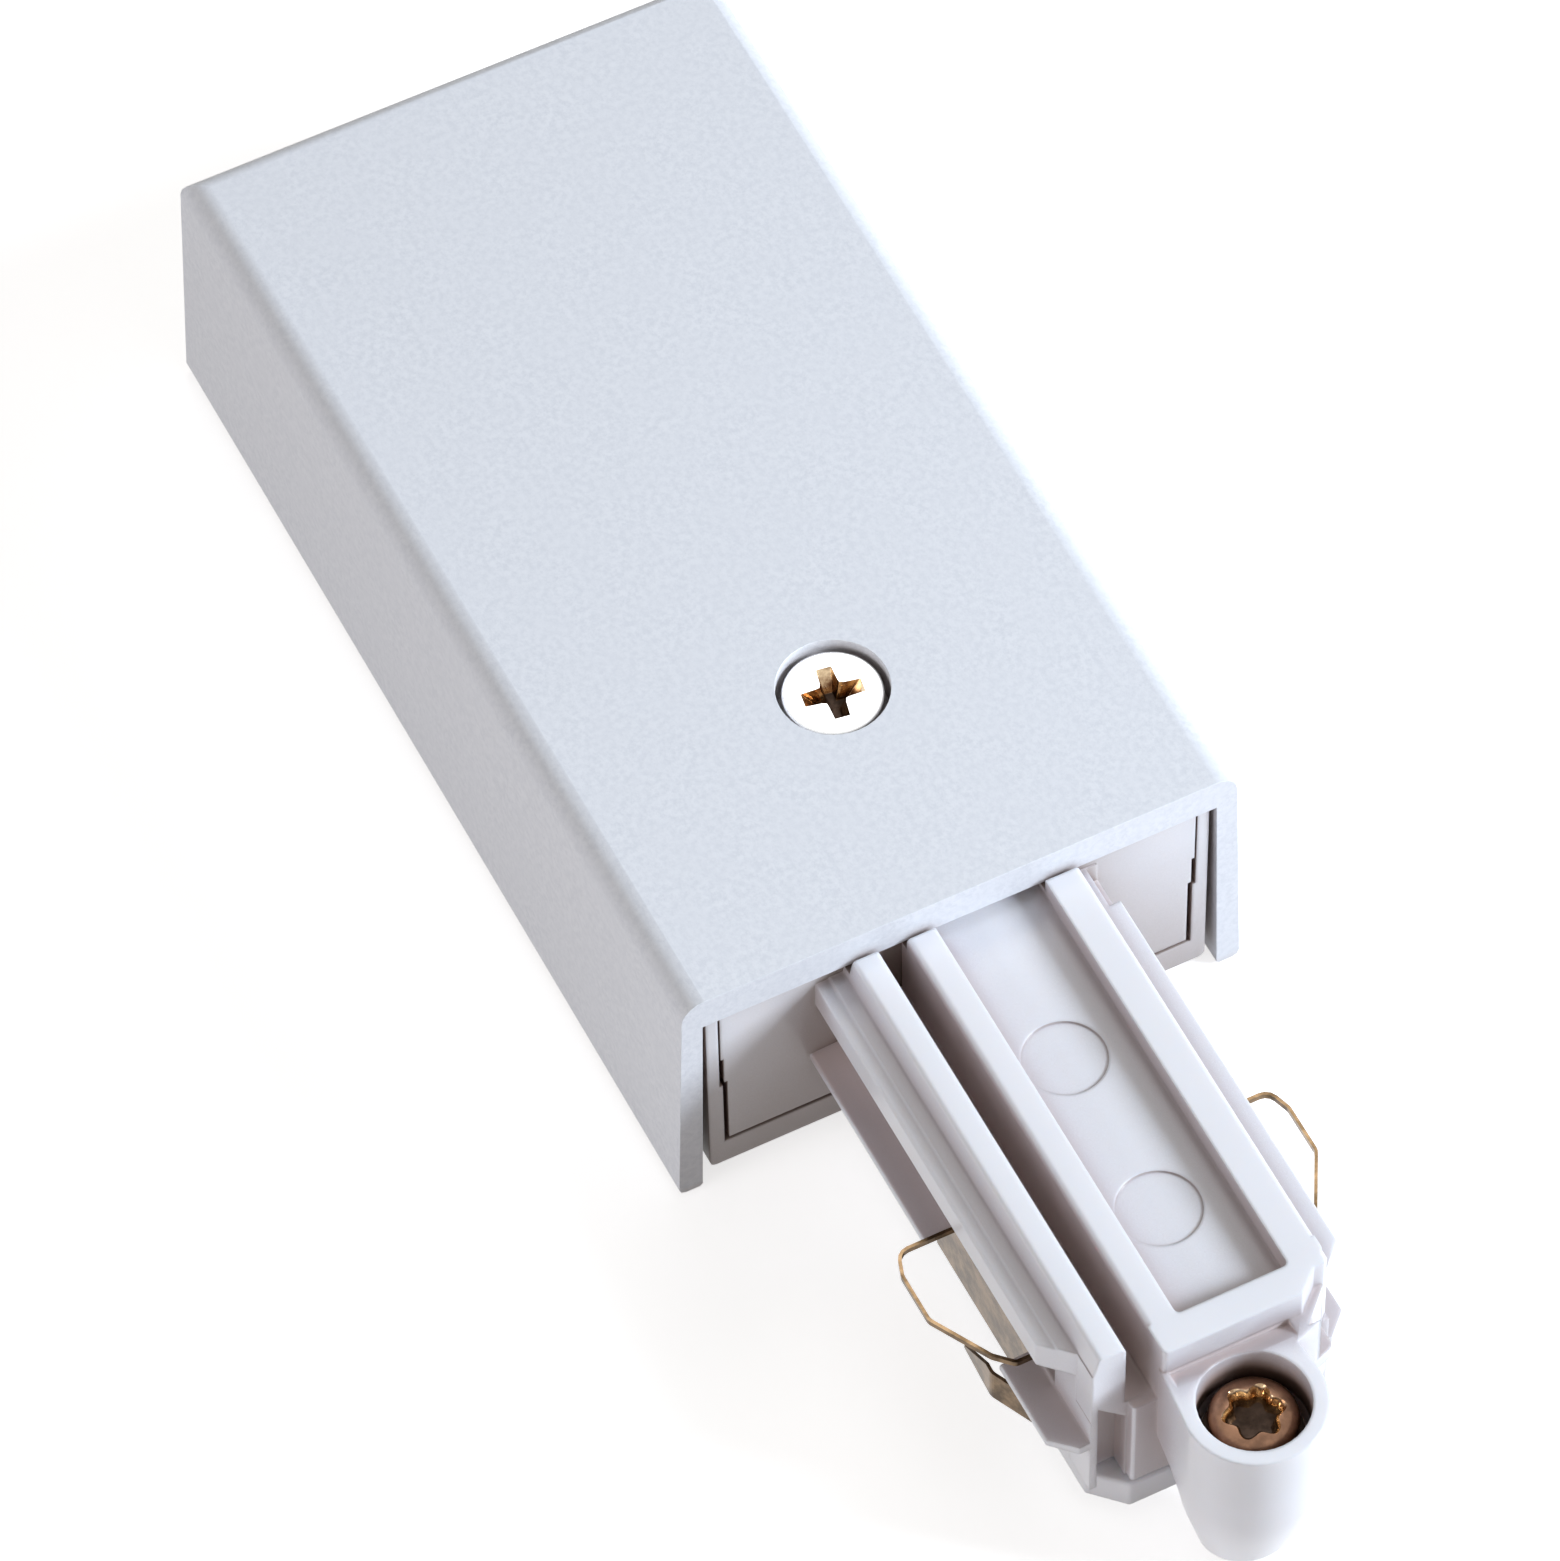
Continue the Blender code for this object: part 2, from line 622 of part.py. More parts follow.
def make_base(parent, surface):
    floor = box_outline(BASE_REAR, BASE_FRONT - FRAME_DEPTH / 2, -BASE_HALF, BASE_HALF)
    base = add_object("base_plate", prism_mesh(floor, FLOOR_LOW, FLOOR_TOP), parent, surface)
    add(base, "end_frame", prism_mesh(end_frame_outline(), FLANGE_BACK, BASE_FRONT, "X"))
    foot_top = FLOOR_LOW + SINK
    stand = FLOOR_TOP - SINK
    wall_front = FLANGE_BACK + SINK
    wall_inside = BASE_HALF - BASE_WALL
    walls = rounded([
        (wall_front, -BASE_HALF),
        (wall_front, -wall_inside),
        (BASE_REAR + BASE_WALL, -wall_inside, 0.8 * MM),
        (BASE_REAR + BASE_WALL, wall_inside, 0.8 * MM),
        (wall_front, wall_inside),
        (wall_front, BASE_HALF),
        (BASE_REAR, BASE_HALF),
        (BASE_REAR, -BASE_HALF),
    ])
    add(base, "walls", prism_mesh(walls, FLOOR_LOW + 0.4 * MM, BASE_WALL_TOP))
    spot = (COVER_SCREW_X, 0.0)
    add(base, "screw_post", cylinder_mesh(spot, POST_RADIUS, stand, POST_TOP))
    saddle_x = CLAMP_WIDTH / 3
    saddle_y = ENTRY_WIDTH / 2.6
    saddle = box_outline(CLAMP_X - saddle_x, CLAMP_X + saddle_x, -saddle_y, saddle_y)
    add(base, "saddle", prism_mesh(saddle, stand, FLOOR_TOP + SADDLE_HEIGHT))
    front_x = FLANGE_BACK - FOOT_RADIUS * 2
    rear_x = BASE_REAR + FOOT_RADIUS * 1.4
    pad_start = ENTRY_X - FIX_SLOT_LENGTH / 2 - PAD_MARGIN
    pad_half = FIX_SLOT_WIDTH / 2 + PAD_MARGIN
    rail_y = PLATFORM_HALF - 2.5 * MM
    for side, sign in (("left", -1), ("right", 1)):
        post = (CLAMP_X, sign * CLAMP_SPAN)
        pillar = cylinder_mesh(post, CLAMP_POST_RADIUS, stand, CLAMP_BOTTOM - SEAT_GAP, FINE_STEPS)
        add(base, f"clamp_post_{side}", pillar)
        low, high = sorted((sign * (FIX_Y - pad_half), sign * (FIX_Y + pad_half)))
        pad = box_outline(pad_start, CLAMP_X + PAD_MARGIN, low, high, 1.0 * MM)
        add(base, f"pad_{side}", prism_mesh(pad, 0.0, foot_top))
        for row, x in enumerate((front_x, rear_x)):
            place_y = sign * (BASE_HALF - FOOT_RADIUS * 1.4)
            foot = cylinder_mesh((x, place_y), FOOT_RADIUS, 0.0, foot_top, FINE_STEPS)
            add(base, f"foot_{row}_{side}", foot)
        low, high = sorted((sign * (rail_y - 0.6 * MM), sign * (rail_y + 0.6 * MM)))
        rail = box_outline(TERMINAL_X - CELL_LENGTH / 2, FLANGE_BACK - 1.0 * MM, low, high)
        add(base, f"rail_{side}", prism_mesh(rail, stand, HOUSING_BOTTOM - SEAT_GAP))
        clamp_pilot = CLAMP_SCREW_RADIUS + BORE_FIT
        pilot = cylinder_mesh(post, clamp_pilot, FLOOR_TOP, CLAMP_BOTTOM + OVERRUN, FINE_STEPS)
        cut(base, f"clamp_pilot_{side}", pilot)
        slot = slot_outline(ENTRY_X, sign * FIX_Y, FIX_SLOT_WIDTH, FIX_SLOT_LENGTH)
        cut(base, f"fix_slot_{side}", prism_mesh(slot, -OVERRUN, FLOOR_TOP + OVERRUN))
    screw_pilot = COVER_SCREW_RADIUS + BORE_FIT
    pilot = cylinder_mesh(spot, screw_pilot, FLOOR_TOP + 0.6 * MM, POST_TOP + OVERRUN, FINE_STEPS)
    cut(base, "pilot", pilot)
    long = ENTRY_LENGTH / 2
    wide = ENTRY_WIDTH / 2
    entry = box_outline(ENTRY_X - long, ENTRY_X + long, -wide, wide, ENTRY_ROUND)
    cut(base, "cable_entry", prism_mesh(entry, -OVERRUN, FLOOR_TOP + OVERRUN))
    knock = KNOCKOUT_WIDTH / 2
    notch = box_outline(-knock, knock, FLOOR_TOP + 0.5 * MM, BASE_WALL_TOP + OVERRUN, 0.8 * MM)
    rear = prism_mesh(notch, BASE_REAR - OVERRUN, BASE_REAR + BASE_WALL * 1.8, "X")
    cut(base, "rear_notch", rear)
    return base


def tongue_outline():
    """The tongue's section across the row, seen from the track."""
    r = MOULD_ROUND
    thin = THIN_ROUND
    lip_low = LIP_TOP - LIP_THICKNESS
    ledge_low = LEDGE_TOP - LEDGE_THICKNESS
    left = [
        (-CORE_HALF, HOUSING_BOTTOM),
        (-CORE_HALF, lip_low),
        (-LIP_LEFT, lip_low, thin),
        (-LIP_LEFT, LIP_TOP - thin, thin),
        (-CORE_HALF, LIP_TOP),
        (-CORE_HALF, ledge_low),
        (-LEDGE_LEFT, ledge_low, thin),
        (-LEDGE_LEFT, LEDGE_TOP - thin, thin),
        (-LEDGE_LEFT + LEDGE_GROOVE, LEDGE_TOP - thin),
        (-LEDGE_LEFT + LEDGE_GROOVE + thin, LEDGE_TOP),
        (RIB_FOOT, LEDGE_TOP),
        (RIB_OUTER, RIB_TOP, r),
        (RIB_INNER, RIB_TOP, r),
        (RIB_INNER, SLOT_FLOOR),
        (SLOT_INNER, SLOT_FLOOR),
        (SLOT_INNER, TRAY_TOP, r),
    ]
    right = [
        (TRAY_WALL_OUTER, TRAY_TOP, r),
        (TRAY_WALL_OUTER, LEDGE_TOP),
        (LEDGE_RIGHT, LEDGE_TOP, thin),
        (LEDGE_RIGHT, ledge_low, thin),
        (CORE_HALF, ledge_low),
        (CORE_HALF, LIP_TOP),
        (LIP_RIGHT, LIP_TOP - thin, thin),
        (LIP_RIGHT, lip_low, thin),
        (CORE_HALF, lip_low),
        (CORE_HALF, HOUSING_BOTTOM),
    ]
    return rounded(left + right)


def flange_outline():
    """The adapter's flange: it fills the base's end frame, tight at its shoulders."""
    low = FRAME_OPENING / 2 - SIDE_FIT
    high = low + FRAME_JOG
    shoulder = FRAME_OPENING / 2 + FRAME_JOG - CLOSE_FIT
    half = [
        (low, HOUSING_BOTTOM),
        (low, JOG_HEIGHT + SIDE_FIT),
        (high, JOG_HEIGHT + SIDE_FIT),
        (high, SHOULDER_HEIGHT),
        (shoulder, SHOULDER_HEIGHT),
        (shoulder, FLANGE_TOP),
    ]
    return [(-u, v) for u, v in half] + half[::-1]


def boss_ring(z, squareness, radius, wide=None, steps=ROUND_STEPS):
    """One level of the boss: a D that runs back to the neck, or a plain oval."""
    if wide is None:
        wide = radius
    ring = []
    back = BOSS_X - TONGUE_LENGTH
    waist = 1.0 + SLOT_INNER / BOSS_RADIUS
    for i in range(steps):
        angle = 2 * math.pi * i / steps
        c, s = math.cos(angle), math.sin(angle)
        reach = 1.0
        if c < 0.0:
            reach = min(1.0 / max(abs(s), 1e-6), back / (radius * abs(c)))
            reach = max(reach, 1.0)
        scale = 1.0 + (reach - 1.0) * squareness
        along = c * radius * scale
        taper = 1.0 - waist * squareness * max(-along / back, 0.0)
        ring.append((BOSS_X + along, s * wide * scale * taper, z))
    return ring


def boss_mesh():
    """The boss: straight D-shaped sides above, tapered to a round foot below."""
    middle_long = BOSS_RADIUS + (BOSS_FOOT_LONG - BOSS_RADIUS) * 0.45
    middle_wide = BOSS_RADIUS + (BOSS_FOOT_WIDE - BOSS_RADIUS) * 0.3
    levels = [
        boss_ring(BOSS_TOP, 1.0, BOSS_RADIUS),
        boss_ring(BOSS_SHOULDER, 1.0, BOSS_RADIUS),
        boss_ring((BOSS_SHOULDER + BOSS_FOOT) / 2, 0.5, middle_long, middle_wide),
        boss_ring(BOSS_FOOT, 0.0, BOSS_FOOT_LONG, BOSS_FOOT_WIDE),
        boss_ring((BOSS_FOOT + BOSS_BOTTOM) / 2, 0.0, BOSS_FOOT_LONG * 0.95, BOSS_FOOT_WIDE * 0.93),
        boss_ring(BOSS_BOTTOM, 0.0, BOSS_FOOT_LONG * 0.87, BOSS_FOOT_WIDE * 0.76),
    ]
    bm = bmesh.new()
    rings = [[bm.verts.new(point) for point in level] for level in levels]
    count = len(rings[0])
    for upper, lower in zip(rings, rings[1:]):
        for i in range(count):
            j = (i + 1) % count
            bm.faces.new((upper[i], upper[j], lower[j], lower[i]))
    bm.faces.new(rings[0])
    bm.faces.new(rings[-1][::-1])
    return bm


def neck_outline():
    """Joins the tray's front wall to the boss, wider on the right."""
    back = TONGUE_LENGTH - OVERRUN
    front = BOSS_X - 2.2 * MM
    left = SLOT_INNER + 0.1 * MM
    return rounded([
        (back, left),
        (front, left),
        (front, BOSS_RADIUS - 0.3 * MM),
        (WALL_END + 0.4 * MM, NECK_WIDE, 0.4 * MM),
        (back, NECK_WIDE),
    ])


def front_wall_outline():
    """The tray's front wall, chamfered at the right."""
    r = MOULD_ROUND
    return rounded([
        (TRAY_END, SLOT_INNER),
        (WALL_END, SLOT_INNER, r),
        (WALL_END, TRAY_WALL_OUTER - FRONT_CHAMFER, r),
        (WALL_END - FRONT_CHAMFER * 0.9, TRAY_WALL_OUTER, r),
        (TRAY_END - 1.0 * MM, TRAY_WALL_OUTER),
    ])


def cut_windows(housing):
    """Side windows for the spring contacts, with more room for the earth leaf's bend."""
    far = LIP_LEFT + OVERRUN
    near = CORE_HALF - WINDOW_DEPTH
    low = HOUSING_BOTTOM - OVERRUN
    for side, sign in (("left", -1), ("right", 1)):
        y_low, y_high = sorted((sign * far, sign * near))
        lower = box_outline(WINDOW_START, LIP_WINDOW_END, y_low, y_high)
        cut(housing, f"window_{side}", prism_mesh(lower, low, WINDOW_TOP))
        upper = box_outline(LIP_WINDOW_END - 1.0 * MM, WINDOW_END, y_low, y_high)
        room = prism_mesh(upper, LIP_TOP + 0.15 * MM, WINDOW_TOP - 0.01 * MM)
        cut(housing, f"hook_room_{side}", room)
    under_lip = LIP_TOP - LIP_THICKNESS
    leaf = box_outline(LIP_WINDOW_END - 0.9 * MM, LEAF_ROOM_END, -far, -near - 0.01 * MM)
    cut(housing, "leaf_room", prism_mesh(leaf, low, under_lip))
    band = box_outline(EARTH_WINDOW_START, WINDOW_START + 0.9 * MM, -far, -near - 0.01 * MM)
    cut(housing, "band_room", prism_mesh(band, low, under_lip))


def chamfer_outline(sign, outer, size):
    """A triangle that takes the front corner off a ledge or lip."""
    end = TONGUE_LENGTH
    reach = OVERRUN
    return [
        (end - size, sign * (outer + 0.001 * MM)),
        (end - size - reach, sign * (outer + reach)),
        (end + reach, sign * (outer + reach)),
        (end + reach, sign * (outer - size - reach)),
        (end, sign * (outer - size)),
    ]


def cut_front_corners(housing):
    inner = CORE_HALF - 0.03 * MM
    start = TONGUE_LENGTH - LEDGE_SHORT
    short_ledge = [
        (start - OVERRUN, -LEDGE_LEFT - OVERRUN),
        (start + LEDGE_LEFT - inner, -inner),
        (TONGUE_LENGTH + OVERRUN, -inner),
        (TONGUE_LENGTH + OVERRUN, -LEDGE_LEFT - OVERRUN),
    ]
    low = LIP_TOP + 2.0 * MM
    high = TRAY_TOP + OVERRUN
    cut(housing, "ledge_corner_left", prism_mesh(short_ledge, low, high))
    ledge = chamfer_outline(1, LEDGE_RIGHT, LEDGE_CHAMFER)
    cut(housing, "ledge_corner_right", prism_mesh(ledge, low, high))
    for side, sign, lip_outer in (("left", -1, LIP_LEFT), ("right", 1, LIP_RIGHT)):
        lip = chamfer_outline(sign, lip_outer, LIP_CHAMFER)
        corner = prism_mesh(lip, HOUSING_BOTTOM - OVERRUN, LIP_TOP + 1.0 * MM)
        cut(housing, f"lip_corner_{side}", corner)


def cut_cavities(housing):
    """Two channels, open towards the ceiling, that hold the bars."""
    inner = CORE_HALF - CORE_WALL
    for side, sign in (("left", -1), ("right", 1)):
        y_low, y_high = sorted((sign * inner, sign * WEB_HALF))
        channel = box_outline(FLANGE_BACK - 1.0 * MM, CAVITY_END, y_low, y_high)
        cut(housing, f"channel_{side}", prism_mesh(channel, HOUSING_BOTTOM - OVERRUN, CAVITY_TOP))


def cut_tray(housing):
    """The open tray on the tongue, its ejector marks and the notch at its root."""
    tray = box_outline(-OVERRUN, TRAY_END, TRAY_LEFT, TRAY_RIGHT, MOULD_ROUND)
    cut(housing, "tray", prism_mesh(tray, TRAY_FLOOR, TRAY_TOP + OVERRUN))
    for number in range(2):
        spot = (TRAY_END - EJECTOR_INSET - EJECTOR_PITCH * number, 1.0 * MM)
        mark = cylinder_mesh(spot, EJECTOR_RADIUS, TRAY_FLOOR - EJECTOR_DEPTH, TRAY_TOP)
        cut(housing, f"ejector_{number}", mark)
    notch = box_outline(-0.2 * MM, ROOT_NOTCH, TRAY_WALL_OUTER + 0.7 * MM, LEDGE_RIGHT + OVERRUN)
    root = prism_mesh(notch, LEDGE_TOP - LEDGE_THICKNESS * 0.7, TRAY_TOP)
    cut(housing, "root_notch", root)


def cut_front(housing):
    """The pocket beside the column, and the groove between the front wall and the boss."""
    pocket = [
        (POCKET_LEFT, HOUSING_BOTTOM - 1.0 * MM),
        (POCKET_RIGHT, HOUSING_BOTTOM - 1.0 * MM),
        (POCKET_RIGHT, POCKET_ROOF),
        (POCKET_LEFT, POCKET_HIGH),
    ]
    deep = TONGUE_LENGTH - POCKET_DEPTH
    cut(housing, "front_pocket", prism_mesh(pocket, deep, TONGUE_LENGTH + 1.0 * MM, "X"))
    groove = [
        (WALL_END - 0.1 * MM, BOSS_TOP - NECK_GROOVE),
        (WALL_END + 1.2 * MM, BOSS_TOP + 0.05 * MM),
        (WALL_END - 0.1 * MM, BOSS_TOP + 0.05 * MM),
    ]
    cut(housing, "neck_groove", prism_mesh(groove, -BOSS_RADIUS + 0.8 * MM, BOSS_RADIUS, "Y"))


def cut_bores(housing):
    """The lock screw's stepped bore, the hole for the base's post and the stake holes."""
    bore = (BOSS_X, 0.0)
    under_head = BOSS_TOP - LOCK_HEAD_DEPTH - LOCK_HEAD_THICKNESS
    flange_top = under_head - LOCK_TRAVEL
    shoulder = flange_top - INSERT_FLANGE - SEAT_GAP / 2
    cut(housing, "boss_bore", cylinder_mesh(bore, BOSS_BORE, shoulder, BOSS_TOP + OVERRUN))
    insert_end = shoulder - INSERT_LENGTH
    sleeve = INSERT_RADIUS + INSERT_FIT
    middle = cylinder_mesh(bore, sleeve, insert_end, shoulder + 1.0 * MM, FINE_STEPS)
    cut(housing, "insert_bore", middle)
    tip_radius = LOCK_SCREW_RADIUS + BORE_FIT
    tip = cylinder_mesh(bore, tip_radius, BOSS_BOTTOM - OVERRUN, insert_end + 1.0 * MM, FINE_STEPS)
    cut(housing, "tip_hole", tip)
    post = POST_RADIUS + BORE_FIT
    spot = (COVER_SCREW_X, 0.0)
    hole = cylinder_mesh(spot, post, HOUSING_BOTTOM - OVERRUN, PLATFORM_TOP + OVERRUN)
    cut(housing, "post_hole", hole)
    for number, x in enumerate(STAKES):
        radius = STAKE_RADIUS + BORE_FIT
        hole = cylinder_mesh((x, 0.0), radius, HOUSING_BOTTOM - OVERRUN, CAVITY_TOP - 2.0 * MM, 16)
        cut(housing, f"stake_hole_{number}", hole)


def cell_centres():
    return (("live", -TERMINAL_PITCH), ("earth", 0.0), ("neutral", TERMINAL_PITCH))


def make_housing(parent, surface):
    body = prism_mesh(tongue_outline(), FLANGE_BACK, TONGUE_LENGTH, "X")
    housing = add_object("adapter_housing", body, parent, surface)
    add(housing, "flange", prism_mesh(flange_outline(), FLANGE_BACK, BASE_FRONT, "X"))
    cell_rear = TERMINAL_X - CELL_LENGTH / 2 - CELL_WALL
    cell_front = TERMINAL_X + CELL_LENGTH / 2 + CELL_WALL
    platform = box_outline(cell_rear, FLANGE_BACK + SINK, -PLATFORM_HALF, PLATFORM_HALF)
    add(housing, "platform", prism_mesh(platform, HOUSING_BOTTOM, PLATFORM_TOP))
    step = 0.2 * MM
    half = PLATFORM_HALF + step
    cells = box_outline(cell_rear - step, cell_front, -half, half, 0.6 * MM)
    add(housing, "cells", prism_mesh(cells, HOUSING_BOTTOM + step, CELL_TOP))
    wall = prism_mesh(front_wall_outline(), SLOT_FLOOR - 1.0 * MM, TRAY_TOP)
    add(housing, "front_wall", wall)
    neck = prism_mesh(neck_outline(), BOSS_SHOULDER - 0.6 * MM, BOSS_TOP - 0.01 * MM)
    add(housing, "neck", neck)
    back = TONGUE_LENGTH - OVERRUN
    column = box_outline(back, BOTTOM_PLATE_END, -COLUMN_HALF, COLUMN_HALF, 0.2 * MM)
    add(housing, "column", prism_mesh(column, HOUSING_BOTTOM + 0.1 * MM, COLUMN_TOP))
    add(housing, "boss", boss_mesh())
    wide = LEDGE_LEFT + OVERRUN
    above = box_outline(FLANGE_BACK - OVERRUN, TONGUE_START, -wide, wide)
    cut(housing, "rim_clearance", prism_mesh(above, FLANGE_TOP, TRAY_TOP + OVERRUN))
    cut_tray(housing)
    cut_windows(housing)
    cut_front_corners(housing)
    cut_cavities(housing)
    cut_front(housing)
    cut_bores(housing)
    for name, y in cell_centres():
        cut_cell(housing, name, y)
    return housing


def cut_cell(housing, name, y):
    """One terminal's pocket, with its wire funnel behind and bar slot in front."""
    x_low = TERMINAL_X - CELL_LENGTH / 2
    x_high = TERMINAL_X + CELL_LENGTH / 2
    cell = box_outline(x_low, x_high, y - CELL_WIDTH / 2, y + CELL_WIDTH / 2)
    cut(housing, f"cell_{name}", prism_mesh(cell, PLATFORM_TOP, CELL_TOP + OVERRUN))
    funnel = circle_outline(y, WIRE_Z, WIRE_FUNNEL, FINE_STEPS)
    outside = x_low - CELL_WALL - OVERRUN
    cut(housing, f"funnel_{name}", prism_mesh(funnel, outside, x_low + 0.5 * MM, "X"))
    slot = box_outline(x_high - 0.5 * MM, x_high + CELL_WALL + OVERRUN, y - BAR, y + BAR)
    bar_slot = prism_mesh(slot, PLATFORM_TOP + 0.01 * MM, CELL_TOP + OVERRUN)
    cut(housing, f"bar_slot_{name}", bar_slot)


def make_bottom_cover(parent, surface):
    half = BOTTOM_PLATE_HALF
    outline = rounded([
        (TONGUE_START, -half),
        (BOTTOM_PLATE_END - BOTTOM_CHAMFER, -half, 0.3 * MM),
        (BOTTOM_PLATE_END, -half + BOTTOM_CHAMFER, 0.3 * MM),
        (BOTTOM_PLATE_END, half - BOTTOM_CHAMFER, 0.3 * MM),
        (BOTTOM_PLATE_END - BOTTOM_CHAMFER, half, 0.3 * MM),
        (TONGUE_START, half),
    ])
    bottom = add_object(
        "adapter_bottom", prism_mesh(outline, BOTTOM_PLATE_LOW, BOTTOM_PLATE_TOP), parent, surface
    )
    foot = BOTTOM_PLATE_TOP - SINK
    for number, x in enumerate(STAKES):
        stake = cylinder_mesh((x, 0.0), STAKE_RADIUS, foot, CAVITY_TOP - 2.6 * MM, 16)
        add(bottom, f"stake_{number}", stake)
    for side, sign in (("left", -1), ("right", 1)):
        y = sign * (WEB_HALF + CORE_HALF - CORE_WALL) / 2
        rail = box_outline(2.0 * MM, CAVITY_END - 0.5 * MM, y - 0.5 * MM, y + 0.5 * MM)
        add(bottom, f"rail_{side}", prism_mesh(rail, foot, HOUSING_BOTTOM + 1.2 * MM))
    notch = box_outline(
        EARTH_WINDOW_START, LIP_WINDOW_END + SEAT_GAP, -half - OVERRUN, -BOTTOM_NOTCH
    )
    low = BOTTOM_PLATE_LOW - OVERRUN
    cut(bottom, "earth_notch", prism_mesh(notch, low, BOTTOM_PLATE_TOP + OVERRUN))
    return bottom


def contact_plate(name, sign, bar_y, height, top, parent, surface):
    """The flat part of a contact: a tab on its bar, a bend, and a plate in the window."""
    plate = [
        (CONTACT_ROOT, sign * (bar_y - TAB)),
        (CONTACT_ROOT, sign * LEG_Y, STRIP_BEND),
        (LIP_WINDOW_END - SEAT_GAP, sign * LEG_Y),
    ]
    origin = (CONTACT_ROOT, sign * bar_y, top)
    return add_object(name, strip_mesh(plate, STRIP, top - height, top), parent, surface, origin)


def line_contact(name, sign, parent, surface):
    """An upper contact: its narrow loop stands out of the window and hooks back in."""
    contact = contact_plate(name, sign, LINE_BAR_Y, LEG_HEIGHT, CONTACT_TOP, parent, surface)
    start = WINDOW_START + LOOP_INSET
    slope = start + LOOP_FLAT
    hook = slope + LOOP_SLOPE
    loop = [
        (start, sign * LEG_Y),
        (start, sign * (APEX_Y - 0.5 * MM), LOOP_ROUND),
        (start + 1.5 * MM, sign * APEX_Y, LOOP_ROUND),
        (slope, sign * APEX_Y, LOOP_ROUND),
        (hook, sign * (APEX_Y - LOOP_DROP), LOOP_ROUND),
        (hook + HOOK_REACH, sign * (APEX_Y - LOOP_DROP - 1.0 * MM), LOOP_ROUND / 2),
        (hook + HOOK_REACH, sign * HOOK_END),
    ]
    low = CONTACT_TOP - LOOP_HEIGHT
    add(contact, "loop", strip_mesh(loop, STRIP, low, CONTACT_TOP - 0.02 * MM))
    return contact


def earth_contact(name, sign, parent, surface):
    """The lower contact: its arm runs forward, turns back under the lip and stands out."""
    contact = contact_plate(
        name, sign, abs(EARTH_BAR_Y), EARTH_LEAF_HEIGHT, EARTH_TOP, parent, surface
    )
    band = [
        (CONTACT_ROOT - EARTH_BAND_BACK, sign * LEG_Y),
        (LIP_WINDOW_END - SEAT_GAP * 1.5, sign * LEG_Y),
    ]
    foot = EARTH_TOP - EARTH_PLATE_HEIGHT
    add(contact, "band", strip_mesh(band, STRIP, foot, EARTH_TOP - 0.04 * MM))
    bend_x = LEAF_ROOM_END - 0.8 * MM
    leaf = [
        (WINDOW_START + LOOP_INSET, sign * LEG_Y),
        (bend_x, sign * LEG_Y, LOOP_ROUND / 2),
        (bend_x, sign * EARTH_RETURN_Y, LOOP_ROUND / 2),
        (bend_x - LEAF_RETURN, sign * EARTH_RETURN_Y, LOOP_ROUND / 2),
        (WINDOW_START + LEAF_APEX_INSET, sign * EARTH_APEX_Y, LOOP_ROUND),
        (WINDOW_START + LEAF_TIP, sign * (EARTH_APEX_Y - 0.15 * MM)),
    ]
    low = EARTH_TOP - EARTH_LEAF_HEIGHT
    add(contact, "leaf", strip_mesh(leaf, STRIP, low, EARTH_TOP - 0.02 * MM))
    tip_x = WINDOW_START + LEAF_TIP
    rise = EARTH_LEAF_HEIGHT - LEAF_POINT
    taper = [
        (tip_x - LEAF_TAPER, low + LEAF_POINT - rise),
        (tip_x + LEAF_TAPER * 2, EARTH_TOP + rise),
        (tip_x - LEAF_TAPER, EARTH_TOP + rise),
    ]
    y_low, y_high = sorted((sign * (EARTH_APEX_Y + 1.0 * MM), sign * (EARTH_RETURN_Y - 0.5 * MM)))
    cut(contact, "taper", prism_mesh(taper, y_low, y_high, "Y"))
    return contact


def make_bars(parent, surface):
    """Bent bars that run from the terminals to the contact roots."""
    swing_end = FLANGE_BACK - 1.5 * MM
    for name, sign in (("live", -1), ("neutral", 1)):
        path = [
            (BAR_START, sign * TERMINAL_PITCH),
            (swing_end - BAR_SWING, sign * TERMINAL_PITCH, BAR_BEND),
            (swing_end, sign * LINE_BAR_Y, BAR_BEND),
            (BAR_END, sign * LINE_BAR_Y),
        ]
        high = LINE_BAR_LOW + LINE_BAR_HEIGHT
        add_object(f"{name}_bar", strip_mesh(path, BAR, LINE_BAR_LOW, high), parent, surface)
    bend_x = TERMINAL_X + CELL_LENGTH / 2 + CELL_WALL + 1.0 * MM
    path = [
        (BAR_START, 0.0),
        (bend_x, 0.0, BAR_BEND),
        (bend_x + 2.0 * MM, EARTH_BAR_Y, BAR_BEND),
        (BAR_END, EARTH_BAR_Y),
    ]
    high = EARTH_BAR_LOW + EARTH_BAR_HEIGHT
    add_object("earth_bar", strip_mesh(path, BAR, EARTH_BAR_LOW, high), parent, surface)


